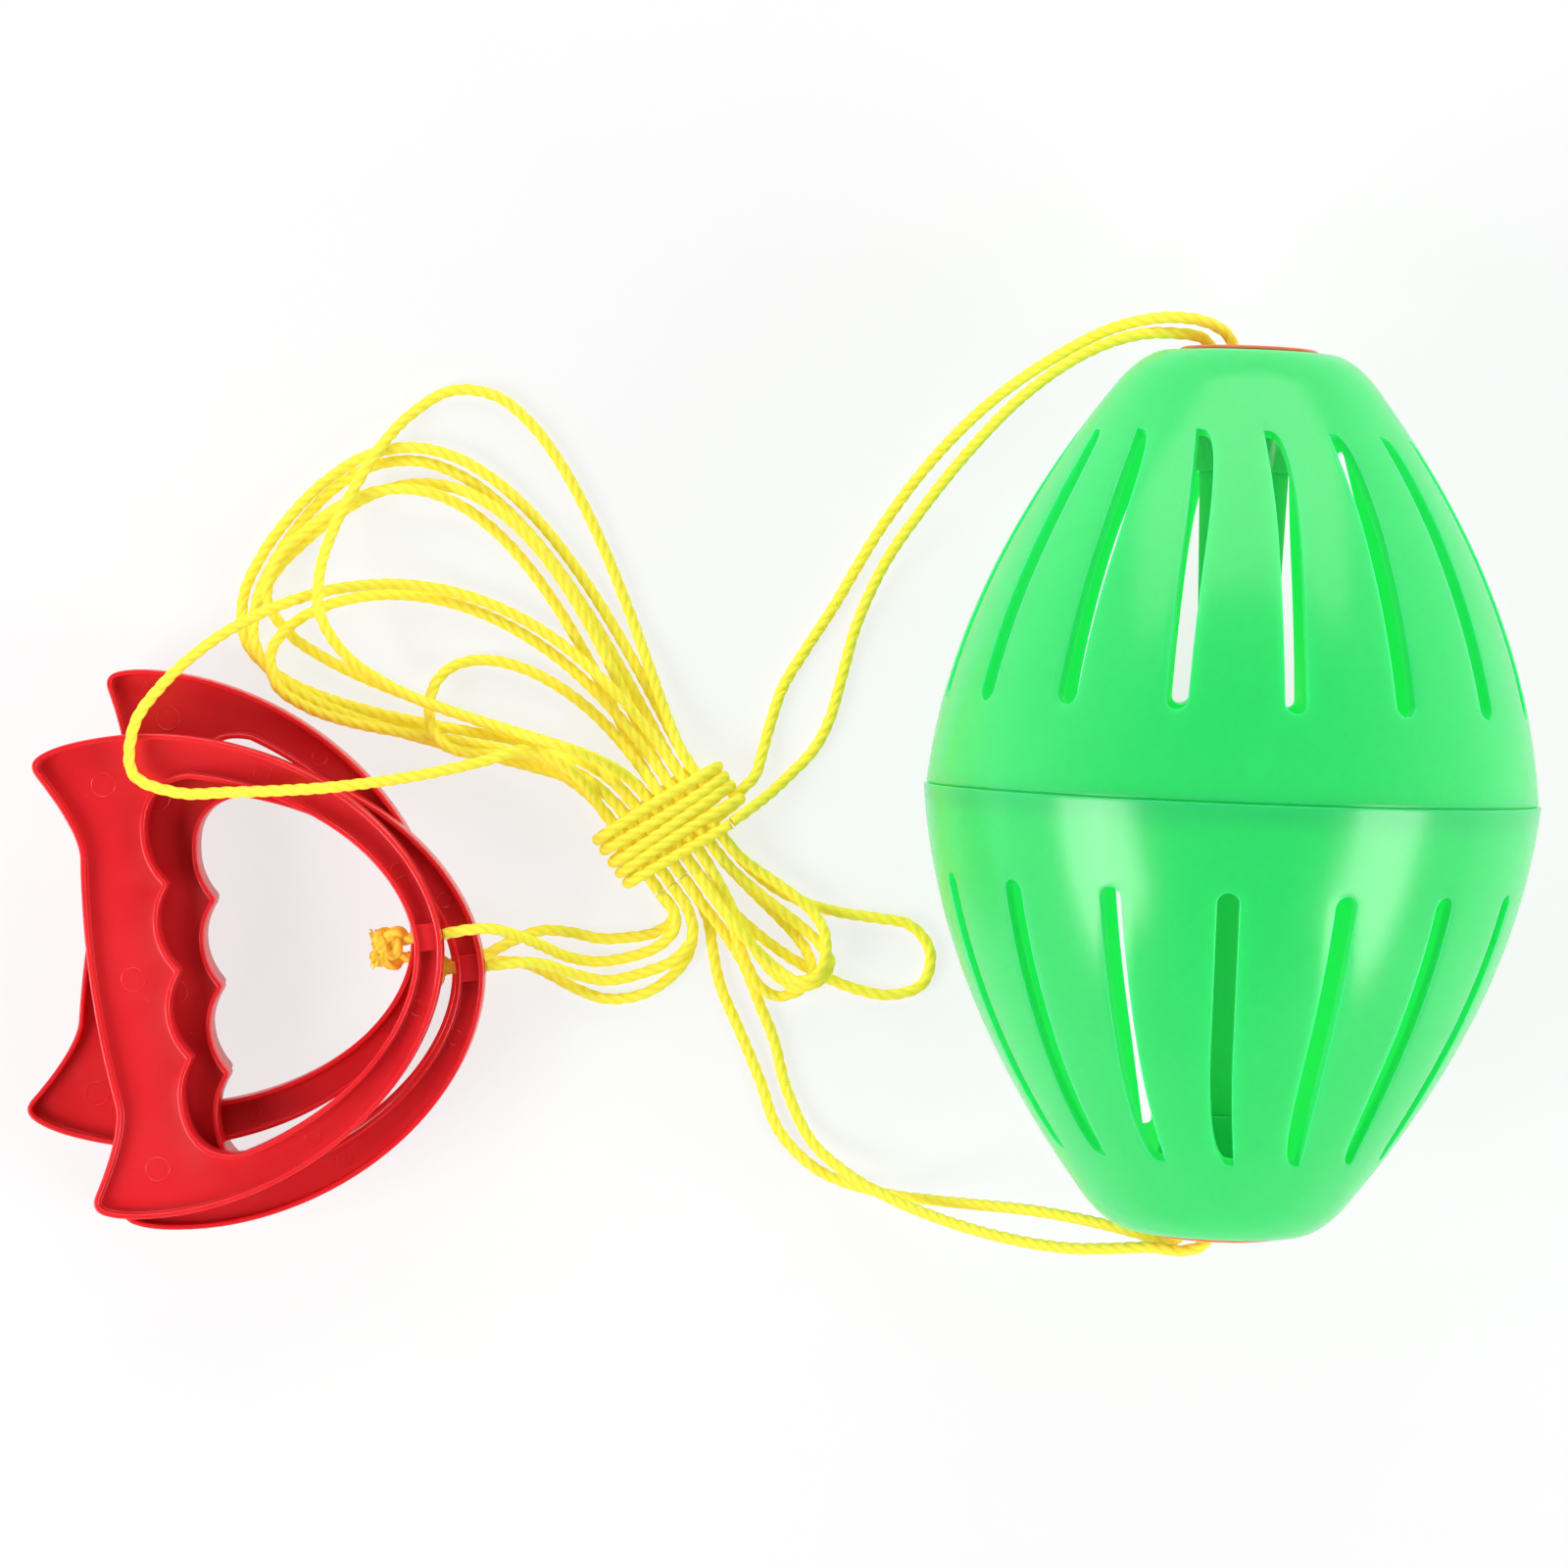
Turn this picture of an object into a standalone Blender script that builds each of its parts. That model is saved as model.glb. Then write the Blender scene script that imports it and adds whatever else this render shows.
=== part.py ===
"""Tug ball: a slotted two-half ball that runs along two ropes, with a pull handle on each rope end.

Metres, +Z up. The set lies on a table at z = 0 with the ball on its side, its axis along Y,
the four handles stacked on the left and the spare rope tied up in a hank between them.
"""
from math import atan, cos, pi, radians, sin, sqrt

import bmesh
import bpy
import numpy as np
from mathutils import Vector

MM = 0.001
GAP = 0.3 * MM                    # left between pieces that touch

# Ball: two half shells, outline measured from the equator to the flat end
BALL_CENTRE = Vector((105.2 * MM, 8.4 * MM, 70.2 * MM))
BALL_RADIUS = 70.2 * MM           # lower half, at its rim
RIM_STEP = 0.6 * MM               # how far the lower rim stands proud of the upper one
BALL_HALF_LENGTH = 100.0 * MM
RIM_SLOPE = 0.087                 # lean of the wall where it leaves the equator
WALL_CURVE = 3.70                 # bow of the wall, per metre
END_CORNER = 9.0 * MM             # round between the wall and the flat end
SHELL_WALL = 2.6 * MM
SPIGOT_DEPTH = 4.0 * MM
SPIGOT_WALL = 1.2 * MM
SHELL_SEGMENTS = 48

# Slots: one ring of them in each half, the halves half a pitch apart
SLOT_COUNT = 16
SLOT_WIDTH = 4.5 * MM
SLOT_START = 19.5 * MM            # from the equator, to the round end
SLOT_END = 81.2 * MM              # from the equator, to the pointed tip
SLOT_TIP_LENGTH = 26.0 * MM       # over which one side curves in
SLOT_LEAN = 1.3 * MM              # how far the tip stands out past the other side
LOWER_SLOT_TURN = radians(-5.0)   # first slot of the lower half, from straight up

# Core tubes, their collars on the shells, and the flared end rings
TUBE_MIDDLE_RADIUS = 8.0 * MM     # outside, at the equator
TUBE_DRAFT = 0.029                # growth of the radius towards the end
TUBE_WALL = 1.5 * MM
TUBE_TOP = 83.0 * MM              # from the equator
NOSE_LENGTH = 4.0 * MM
NOSE_WALL = 1.2 * MM
COLLAR_WALL = 1.2 * MM
COLLAR_BOTTOM = 73.0 * MM         # from the equator
RING_FLANGE_RADIUS = 15.8 * MM
RING_FLANGE_PROUD = 0.9 * MM
RING_MOUTH_RADIUS = 13.0 * MM
RING_BARREL_WALL = 1.4 * MM
RING_BARREL_BOTTOM = 84.0 * MM    # from the equator
RING_SEGMENTS = 24

# Handles: D-shaped trays, measured from the rope hole's outer mouth
HANDLE_THICKNESS = 9.0 * MM
HANDLE_WEB = 5.5 * MM
HANDLE_RIM = 1.2 * MM
HANDLE_REACH = 71.5 * MM          # rope hole to the arc's widest line
HANDLE_HALF_SPAN = 57.2 * MM
ARC_POWER = 1.87                  # 2 is an ellipse, lower is more pointed
ARC_WIDTH = 6.6 * MM              # at the rope hole
ARC_ROOT_WIDTH = 10.2 * MM        # where the arc joins the grip
HOLE_ARC_TURN = 1.27              # where the hole leaves the arc for its corner
ARC_STEPS = 20
GRIP_LINE = 62.0 * MM             # rope hole to the tips between the finger scallops
GRIP_WIDTH = 21.6 * MM
SCALLOP_COUNT = 4
SCALLOP_PITCH = 20.8 * MM
SCALLOP_DEPTH = 3.9 * MM
SCALLOP_STEPS = 5
HORN_LENGTH = 6.8 * MM            # how far the horn tips stand behind the grip
HORN_HALF_SPAN = 52.0 * MM
HORN_ROUND = 3.2 * MM
HORN_ROOT = 36.5 * MM             # from the middle, where the horn's flank meets the grip
NECK_DEPTH = 2.1 * MM             # how far the grip draws in next to the horns
ROPE_HOLE_RADIUS = 2.1 * MM
BOSS_WIDTH = 6.4 * MM
BOSS_HEIGHT = 7.6 * MM
STACK_GAP = 0.4 * MM

# Stacking level, rope hole in plan, and heading of each handle
HANDLES = {
    "handle_1": (3, (-76.4 * MM, -33.4 * MM), radians(10.0)),
    "handle_2": (1, (-78.6 * MM, -41.8 * MM), radians(-8.6)),
    "handle_3": (2, (-66.7 * MM, -41.2 * MM), radians(6.5)),
    "handle_4": (0, (-68.9 * MM, -41.7 * MM), radians(6.5)),
}

# Rope and the knot that stops it inside each handle
ROPE_DIAMETER = 2.8 * MM
ROPE_RADIUS = ROPE_DIAMETER / 2
ROPE_POINT_SPACING = 7.0 * MM
INNER_POINT_SPACING = 18.0 * MM   # inside the ball, where the ropes run nearly straight
KNOT_LENGTH = 9.5 * MM
KNOT_RADIUS = 3.9 * MM
KNOT_LOBES = 3
KNOT_LOBE_HEIGHT = 0.5 * MM

# Hank: two layers of parallel strands through the tie, and the loops that they make either side
TIE_CENTRE = Vector((-23.8 * MM, -6.0 * MM, 0))
TIE_AXIS = Vector((0.6, -0.8, 0))         # from the long loops to the short ones
TIE_ACROSS = Vector((0.8, 0.6, 0))
STRAND_PITCH = 3.4 * MM
STRAND_COLUMNS = 8
WAIST_HALF_LENGTH = 12.0 * MM
TIE_TURNS = 5
TIE_TURN_POINTS = 20
ROPE_CLEARANCE = 3.35 * MM                # least distance between two rope centres
TIE_MOUTH = 4.5 * MM                      # next to the tie the strands keep to their columns
LAY_SLOPE = 0.45                          # steepest climb of a strand over another
LOOP_POINTS = 24
SHORT_LOOP_POINTS = 16
RUN_STEPS = 8                             # samples along each run when clearances are tested

# Each loop: column it leaves, column it returns to, its far point, heading there in degrees,
# and how far it runs on along the tie before the far point, either side of it, and after it
LONG_LOOPS = {
    ("a", "top", 1): (7, 3, (-116, 68), 229, 16, 66, 84, 24),
    ("a", "top", 2): (6, 0, (-120, 58), 238, 16, 76, 64, 32),
    ("b", "bottom", 1): (4, 2, (-113, 63), 221, 16, 56, 58, 24),
    ("b", "bottom", 2): (5, 1, (-116, 58), 226, 16, 72, 66, 17),
    ("b", "top", 1): (7, 3, (-105, 68), 245, 16, 95, 63, 24),
    ("b", "top", 2): (6, 0, (-139, -2), 2, 122, 45, 95, 37),
    ("a", "bottom", 1): (4, 2, (-83, 18), 278, 42, 15, 16, 25),
    ("a", "bottom", 2): (5, 1, (-120, 24), 308, 83, 21, 20, 23),
}
SHORT_LOOPS = {
    ("a", "top"): (3, 6, (40, -34), 102, 34, 24, 13, 31),
    ("b", "bottom"): (4, 5, (8, -46), 31, 14, 15, 15, 16),
    ("b", "top"): (3, 6, (14, -39), 70, 24, 12, 16, 12),
    ("a", "bottom"): (4, 5, (13, -43), 31, 14, 14, 14, 16),
}

# Free stretches of rope in millimetres, from the hank outwards
TOP_STRETCHES = {
    "a": [(-6.6, 3.2, 6.5), (-3.9, 6.4, 5.2), (-2.6, 11, 3.6), (-1, 18, 1.8), (2, 28, 1.6), (7, 37, 1.6),
          (13, 47, 2), (24, 67, 6), (35, 83, 15), (48, 97, 30), (63, 108, 47), (76, 114.5, 59),
          (87, 116.5, 65.5), (95.5, 115.6, 67.6), (100.6, 112.6, 67.8), (102.2, 107.6, 67.4),
          (103.2, 97.7, 67.2)],
    "b": [(-9.0, -4.9, 11.75), (-5, -1.9, 10), (0, 2.2, 5), (4.4, 6.6, 2.2), (10, 13, 1.6), (13.4, 20, 1.6),
          (16.4, 32, 1.7), (19, 43, 3), (25, 58, 7.5), (33, 71, 16), (44, 86, 31), (56, 99, 47),
          (69, 108.3, 58), (80, 112.4, 62.8), (89, 113, 64.2), (95.2, 112, 64.6), (98, 108, 64.5),
          (99.4, 97.7, 64.6)],
}
BOTTOM_STRETCHES = {
    "b": [(-20.4, -19.0, 4.95), (-16.6, -24.2, 3.8), (-14, -30, 2), (-12.6, -37, 1.6), (-10.6, -45, 1.6),
          (-5, -57, 1.6), (0, -68, 1.6), (5, -80, 1.6), (15, -89.4, 1.7), (31, -94, 5), (44, -94.4, 13),
          (67, -93.6, 33), (83, -94.6, 47), (91, -95.8, 53), (96.2, -96.4, 58.2), (98.6, -94.4, 61.2),
          (99.2, -91, 62.2), (100.6, -81, 63.8)],
    "a": [(-20.4, -19.0, 8.35), (-16.4, -24.3, 7.8), (-11, -31, 4.6), (-5, -40, 1.8), (-1, -49, 1.6),
          (3, -58, 1.6), (6.6, -70, 1.7), (13, -82, 3.6), (21, -88.6, 7.4), (31, -93.6, 12.6),
          (44, -97.4, 23), (60, -99.6, 39), (74, -99.8, 51), (84, -98.6, 57.4), (92, -97.6, 60.8),
          (99.5, -97.8, 63), (104, -96, 63.4), (105.6, -91.5, 63.4), (106.2, -81, 64.8)],
}
INNER_ROPES = {
    "a": [(103.2, 97.3, 67.2), (105.4, 80, 67.2), (107, 55, 67.4), (107, 8.4, 67.6), (107, -40, 67.4),
          (106.6, -70, 66.2), (106.2, -80.6, 64.9)],
    "b": [(99.46, 97.3, 64.6), (100.8, 88, 65.3), (102.9, 65, 66.8), (103.4, 40, 67.4), (103.4, 8.4, 67.6),
          (103.3, -40, 67.1), (102, -69, 65.3), (100.66, -80.6, 63.9)],
}
# Leads, from the handle to the tie; the first point is the handle's own rope hole
LEADS = {
    "handle_1": [(-71.4, -32.3, 32.2), (-66, -31.9, 28.4), (-60, -33.6, 20), (-54, -36.5, 11.4),
                 (-48, -39.4, 5.4), (-41, -40.6, 2.4), (-33, -39.2, 2.4), (-26, -36.2, 4.2),
                 (-22, -31.5, 6.8), (-22.2, -27.9, 8.1), (-25.9, -23.1, 8.35)],
    "handle_3": [(-62, -40.6, 22.2), (-57, -40.4, 17.4), (-52, -41.4, 10.8), (-46, -43.6, 5.8),
                 (-38, -45, 3.2), (-29, -42.7, 3), (-21.5, -39, 4.4), (-17.6, -33, 6), (-19.2, -26.4, 8),
                 (-23.2, -21, 8.35)],
    "handle_2": [(-73, -42.3, 13.9), (-66, -38.6, 12.4), (-60, -35.4, 8), (-54, -33.4, 4),
                 (-47, -33.8, 1.7), (-40, -35, 1.6), (-33, -34.4, 1.6), (-27.4, -33.2, 1.7),
                 (-23.4, -30.6, 2.5), (-22.4, -27.6, 4), (-25.9, -23.1, 4.95)],
    "handle_4": [(-64, -41.3, 3.8), (-58, -41.8, 1.9), (-52, -44.2, 1.6), (-46, -47.2, 1.6),
                 (-38, -49.6, 1.6), (-29, -48, 1.6), (-22, -43, 1.6), (-18.4, -37.5, 1.6),
                 (-17.8, -31.5, 2.4), (-19.4, -26.2, 4.1), (-23.2, -21, 4.95)],
}

GREEN = (0.045, 0.74, 0.16)
ORANGE = (0.85, 0.18, 0.03)
RED = (0.72, 0.012, 0.022)
YELLOW = (0.9, 0.74, 0.02)


def clear_scene():
    for old in list(bpy.data.objects):
        bpy.data.objects.remove(old, do_unlink=True)


def plastic(name, colour, roughness):
    material = bpy.data.materials.new(name)
    material.use_nodes = True
    shader = material.node_tree.nodes["Principled BSDF"]
    shader.inputs["Base Color"].default_value = (*colour, 1)
    shader.inputs["Roughness"].default_value = roughness
    shader.inputs["Metallic"].default_value = 0
    return material


def new_object(name, data, material, parent=None):
    obj = bpy.data.objects.new(name, data)
    bpy.context.collection.objects.link(obj)
    obj.data.materials.append(material)
    obj.parent = parent
    return obj


def new_empty(name, place):
    empty = bpy.data.objects.new(name, None)
    empty.location = place
    bpy.context.collection.objects.link(empty)
    return empty


def mesh_from(name, bm):
    bmesh.ops.recalc_face_normals(bm, faces=bm.faces)
    mesh = bpy.data.meshes.new(name)
    bm.to_mesh(mesh)
    bm.free()
    mesh.shade_smooth()
    mesh.set_sharp_from_angle(angle=radians(35))
    return mesh


def revolve(name, profile, segments):
    """Turn a closed (radius, height) profile about Z."""
    bm = bmesh.new()
    rings = []
    for step in range(segments):
        turn = 2 * pi * step / segments
        rings.append([bm.verts.new((r * cos(turn), r * sin(turn), h)) for r, h in profile])
    for ring, following in zip(rings, rings[1:] + rings[:1]):
        for i in range(len(profile)):
            j = (i + 1) % len(profile)
            bm.faces.new((ring[i], ring[j], following[j], following[i]))
    return mesh_from(name, bm)


def prism(bm, outline, low, high, turned=Vector):
    """Add a closed prism over a convex or gently curved (x, y) outline, each point then turned."""
    bottom = [bm.verts.new(turned((x, y, low))) for x, y in outline]
    top = [bm.verts.new(turned((x, y, high))) for x, y in outline]
    for i in range(len(outline)):
        j = (i + 1) % len(outline)
        bm.faces.new((bottom[i], bottom[j], top[j], top[i]))
    bm.faces.new(list(reversed(bottom)))
    bm.faces.new(top)


def cut(obj, cutter, operation="DIFFERENCE"):
    cutter.hide_render = True
    cutter.display_type = "WIRE"
    modifier = obj.modifiers.new(cutter.name, "BOOLEAN")
    modifier.operation = operation
    modifier.solver = "EXACT"
    modifier.object = cutter


# Ball

def wall_radius(height, rim_radius):
    return rim_radius - RIM_SLOPE * height - WALL_CURVE * height ** 2


def wall_lean(height):
    return RIM_SLOPE + 2 * WALL_CURVE * height


def tube_radius(height):
    return TUBE_MIDDLE_RADIUS + TUBE_DRAFT * height


def shell_profile(rim_radius, has_spigot):
    """One half's section, from the outer rim round the end and collar and back inside."""
    corner_start = BALL_HALF_LENGTH - END_CORNER
    steps = [corner_start * i / 6 for i in range(7)]
    outer = [(wall_radius(h, rim_radius), h) for h in steps]
    lean = wall_lean(corner_start)
    shoulder = wall_radius(corner_start, rim_radius)
    flat_edge = shoulder - END_CORNER * 1.15
    corner = []
    for i in (1, 2, 3):
        t = i / 3
        knee = shoulder - lean * END_CORNER * 0.75
        corner.append(((1 - t) ** 2 * shoulder + 2 * t * (1 - t) * knee + t ** 2 * flat_edge,
                       (1 - t) ** 2 * corner_start
                       + 2 * t * (1 - t) * (corner_start + END_CORNER * 0.8) + t ** 2 * BALL_HALF_LENGTH))
    hole = RING_MOUTH_RADIUS + RING_BARREL_WALL + GAP
    collar_inner = tube_radius(COLLAR_BOTTOM) + GAP
    collar = [(hole, BALL_HALF_LENGTH), (hole, BALL_HALF_LENGTH - SHELL_WALL), (collar_inner, COLLAR_BOTTOM),
              (collar_inner + COLLAR_WALL, COLLAR_BOTTOM),
              (hole + COLLAR_WALL, BALL_HALF_LENGTH - SHELL_WALL)]
    inner = []
    for h in reversed(steps):
        offset = SHELL_WALL / sqrt(1 + wall_lean(h) ** 2)
        inner.append((wall_radius(h, rim_radius) - offset, h - offset * wall_lean(h)))
    inner = [point for point in inner if point[1] > SPIGOT_DEPTH + 2 * GAP]
    spigot_outer = BALL_RADIUS - RIM_STEP - SHELL_WALL / 2
    if has_spigot:
        rim = [(spigot_outer - SPIGOT_WALL, 0), (spigot_outer - SPIGOT_WALL, -SPIGOT_DEPTH),
               (spigot_outer, -SPIGOT_DEPTH), (spigot_outer, 0)]
    else:
        relief = SPIGOT_DEPTH + GAP
        rim = [(rim_radius - SHELL_WALL - RIM_SLOPE * relief, relief), (spigot_outer + GAP, relief),
               (spigot_outer + GAP, 0)]
    return outer + corner + collar + inner + rim


def slot_outline():
    """Slot in the flat: round at the equator end; at the tip one side curves in and the other leans out."""
    half = SLOT_WIDTH / 2
    round_end = [(-half * cos(pi * i / 4), SLOT_START + half - half * sin(pi * i / 4)) for i in range(5)]
    curved = []
    for i in range(6):
        turn = pi / 2 * i / 5
        curved.append((half - (SLOT_WIDTH + SLOT_LEAN) * (1 - cos(turn)),
                       SLOT_END - SLOT_TIP_LENGTH * (1 - sin(turn))))
    leaning = [(-half - SLOT_LEAN * t ** 2, SLOT_END - SLOT_TIP_LENGTH * (1 - t)) for t in (0.7, 0.35)]
    return round_end + curved + leaning


def slot_cutter(name, turn):
    """All of one half's slots as separate radial bars."""
    bm = bmesh.new()
    for k in range(SLOT_COUNT):
        angle = turn + 2 * pi * k / SLOT_COUNT
        outward = Vector((cos(angle), sin(angle), 0))
        across = Vector((-sin(angle), cos(angle), 0))
        prism(bm, slot_outline(), tube_radius(SLOT_END) * 2, BALL_RADIUS * 1.2,
              lambda p: across * p[0] + Vector((0, 0, p[1])) + outward * p[2])
    return mesh_from(name, bm)


def tube_profile(has_nose):
    """Core tube: drafted, open right through, one of the pair with a nose that enters the other."""
    start = GAP / 2
    outer = [(tube_radius(TUBE_TOP), TUBE_TOP), (tube_radius(start), start)]
    bore_start = tube_radius(start) - TUBE_WALL
    bore_top = (tube_radius(TUBE_TOP) - TUBE_WALL, TUBE_TOP)
    if not has_nose:
        return outer + [(bore_start, start), bore_top]
    nose = bore_start - GAP
    return outer + [(nose, start), (nose, -NOSE_LENGTH), (nose - NOSE_WALL, -NOSE_LENGTH),
                    (nose - NOSE_WALL, NOSE_LENGTH), bore_top]


def ring_profile():
    """Flared eyelet: a flange on the ball's end and a funnel barrel inside the collar."""
    face = BALL_HALF_LENGTH + GAP
    top = face + RING_FLANGE_PROUD
    throat = tube_radius(TUBE_TOP) - TUBE_WALL
    barrel_end = throat + RING_BARREL_WALL
    soften = RING_FLANGE_PROUD / 2
    return [(RING_MOUTH_RADIUS + soften, top), (RING_FLANGE_RADIUS - soften, top),
            (RING_FLANGE_RADIUS, top - soften), (RING_FLANGE_RADIUS, face),
            (RING_MOUTH_RADIUS + RING_BARREL_WALL, face),
            (RING_MOUTH_RADIUS + RING_BARREL_WALL, BALL_HALF_LENGTH - SHELL_WALL),
            (barrel_end, RING_BARREL_BOTTOM), (throat, RING_BARREL_BOTTOM),
            (RING_MOUTH_RADIUS - soften, top - 2 * MM)]


def build_ball(green, orange):
    ball = new_empty("ball_axis", BALL_CENTRE)
    # Heights of every profile run along the ball's axis, so +Z of a half turns to +Y or -Y.
    # Straight up on the table is then at minus a quarter turn in the upper half, at plus one in the lower.
    halves = {"upper": (-pi / 2, BALL_RADIUS - RIM_STEP, False, pi / SLOT_COUNT),
              "lower": (pi / 2, BALL_RADIUS, True, 0)}
    for half, (turn, rim_radius, has_spigot, clock) in halves.items():
        side = 1 if half == "upper" else -1
        slot_turn = side * (LOWER_SLOT_TURN + clock - pi / 2)
        shell = new_object(f"{half}_shell", revolve(f"{half}_shell", shell_profile(rim_radius, has_spigot),
                                                    SHELL_SEGMENTS), green, ball)
        cutter = new_object(f"{half}_slots", slot_cutter(f"{half}_slots", slot_turn), green, ball)
        cut(shell, cutter)
        tube = new_object(f"{half}_core_tube", revolve(f"{half}_core_tube", tube_profile(has_spigot),
                                                       RING_SEGMENTS), green, ball)
        ring_mesh = revolve(f"{half}_ring", ring_profile(), RING_SEGMENTS)
        ring = new_object(f"{half}_ring", ring_mesh, orange, ball)
        for obj in (shell, cutter, tube, ring):
            obj.rotation_euler = (turn, 0, 0)


# Handles

def arc_point(turn, reach, half_span):
    """Point on the arc's pointed ellipse, from the rope-hole end (turn 0) to its widest line."""
    power = 2 / ARC_POWER
    across = abs(sin(turn)) ** power * (1 if turn >= 0 else -1)
    return (-HANDLE_REACH + reach * abs(cos(turn)) ** power, half_span * across)


def curve_points(start, pull, end, steps):
    """Points after the start on a curve drawn towards one pull point."""
    points = []
    for i in range(1, steps + 1):
        t = i / steps
        points.append(tuple((1 - t) ** 2 * a + 2 * t * (1 - t) * b + t ** 2 * c
                            for a, b, c in zip(start, pull, end)))
    return points


def handle_outline():
    """Outer edge, anticlockwise from the lower horn round the arc to the upper horn and down the back."""
    arc = [arc_point(-pi / 2 + pi * i / ARC_STEPS, HANDLE_REACH, HANDLE_HALF_SPAN)
           for i in range(ARC_STEPS + 1)]
    back = -(GRIP_LINE + GRIP_WIDTH)
    tip = back - HORN_LENGTH
    shoulder = (tip + HORN_ROUND, HORN_HALF_SPAN + HORN_ROUND)
    heel = (tip + HORN_ROUND * 0.3, HORN_HALF_SPAN - HORN_ROUND * 0.6)
    neck = (back + NECK_DEPTH * 0.9, HORN_ROOT * 0.82)
    upper = curve_points(arc[-1], (tip + HORN_ROUND * 2.5, HANDLE_HALF_SPAN), shoulder, 2)
    upper += curve_points(shoulder, (tip - HORN_ROUND * 0.3, HORN_HALF_SPAN + HORN_ROUND * 0.5), heel, 3)
    upper += curve_points(heel, (back + NECK_DEPTH, HORN_ROOT), neck, 3)
    upper += curve_points(neck, (back, HORN_ROOT * 0.4), (back, 0), 2)
    return arc + upper + [(x, -y) for x, y in reversed(upper[:-1])]


def hole_outline():
    """Finger hole, anticlockwise: the arc's inner edge, a round corner, the scallops and the other corner."""
    reach = HANDLE_REACH - ARC_WIDTH
    half_span = HANDLE_HALF_SPAN - ARC_ROOT_WIDTH
    arc = [arc_point(HOLE_ARC_TURN * (2 * i / ARC_STEPS - 1), reach, half_span)
           for i in range(ARC_STEPS + 1)]
    radius = (SCALLOP_PITCH ** 2 / 4 + SCALLOP_DEPTH ** 2) / (2 * SCALLOP_DEPTH)
    sweep = atan(SCALLOP_PITCH / 2 / (radius - SCALLOP_DEPTH))
    valley = -GRIP_LINE - SCALLOP_DEPTH
    outermost = SCALLOP_PITCH * (SCALLOP_COUNT - 1) / 2
    corner = curve_points(arc[-1], (valley, arc[-1][1]), (valley, outermost), 4)
    grip = []
    for k in range(SCALLOP_COUNT):
        middle = outermost - SCALLOP_PITCH * k
        for i in range(SCALLOP_STEPS):
            turn = sweep - 2 * sweep * i / SCALLOP_STEPS
            place = (valley + radius - radius * cos(turn), middle + radius * sin(turn))
            if abs(place[1]) < outermost - GAP:
                grip.append(place)
    return arc + corner + grip + [(x, -y) for x, y in reversed(corner)]


def inset(outline, distance):
    """Move each point of an anticlockwise outline to its left by the distance, mitred."""
    points = [np.array(p) for p in outline]
    moved = []
    for before, here, after in zip(points[-1:] + points[:-1], points, points[1:] + points[:1]):
        a = (here - before) / np.linalg.norm(here - before)
        b = (after - here) / np.linalg.norm(after - here)
        normal_a, normal_b = np.array((-a[1], a[0])), np.array((-b[1], b[0]))
        mitre = normal_a + normal_b
        mitre = mitre / max(0.5, 1 + normal_a @ normal_b)
        moved.append(tuple(here + mitre * distance))
    return moved


def inside(outline, x, y):
    """Whether a point lies within a closed outline."""
    hit = False
    for (ax, ay), (bx, by) in zip(outline, outline[1:] + outline[:1]):
        if (ay > y) != (by > y) and x < ax + (y - ay) / (by - ay) * (bx - ax):
            hit = not hit
    return hit


def handle_mesh(name):
    """Tray: a flat web with a rim along the outline and round the finger hole."""
    outer, hole = handle_outline(), hole_outline()
    loops = {"outer": outer, "outer_in": inset(outer, HANDLE_RIM),
             "hole": hole, "hole_in": inset(hole, -HANDLE_RIM)}
    bm = bmesh.new()

    def ring(key, height):
        return [bm.verts.new((x, y, height)) for x, y in loops[key]]

    def join(low, high):
        for i in range(len(low)):
            j = (i + 1) % len(low)
            bm.faces.new((low[i], low[j], high[j], high[i]))

    def fill(*rings):
        edges = [bm.edges.get((r[i], r[(i + 1) % len(r)])) for r in rings for i in range(len(r))]
        bmesh.ops.triangle_fill(bm, edges=edges, use_beauty=True)

    base, top, web = -HANDLE_THICKNESS / 2, HANDLE_THICKNESS / 2, HANDLE_WEB - HANDLE_THICKNESS / 2
    base_rings = []
    web_rings = []
    for edge in ("outer", "hole"):
        low, high = ring(edge, base), ring(edge, top)
        lip, floor = ring(edge + "_in", top), ring(edge + "_in", web)
        join(low, high)
        join(high, lip)
        join(lip, floor)
        base_rings.append(low)
        web_rings.append(floor)
    fill(*base_rings)
    fill(*web_rings)
    return mesh_from(name, bm)


def box_mesh(name, low, high):
    bm = bmesh.new()
    prism(bm, [(low[0], low[1]), (high[0], low[1]), (high[0], high[1]), (low[0], high[1])], low[2], high[2])
    return mesh_from(name, bm)


def rod_mesh(name, radius, start, end, sides):
    """Round bar along X."""
    bm = bmesh.new()
    circle = [(radius * cos(2 * pi * i / sides), radius * sin(2 * pi * i / sides)) for i in range(sides)]
    prism(bm, circle, start, end, lambda p: Vector((p[2], p[0], p[1])))
    return mesh_from(name, bm)


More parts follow.
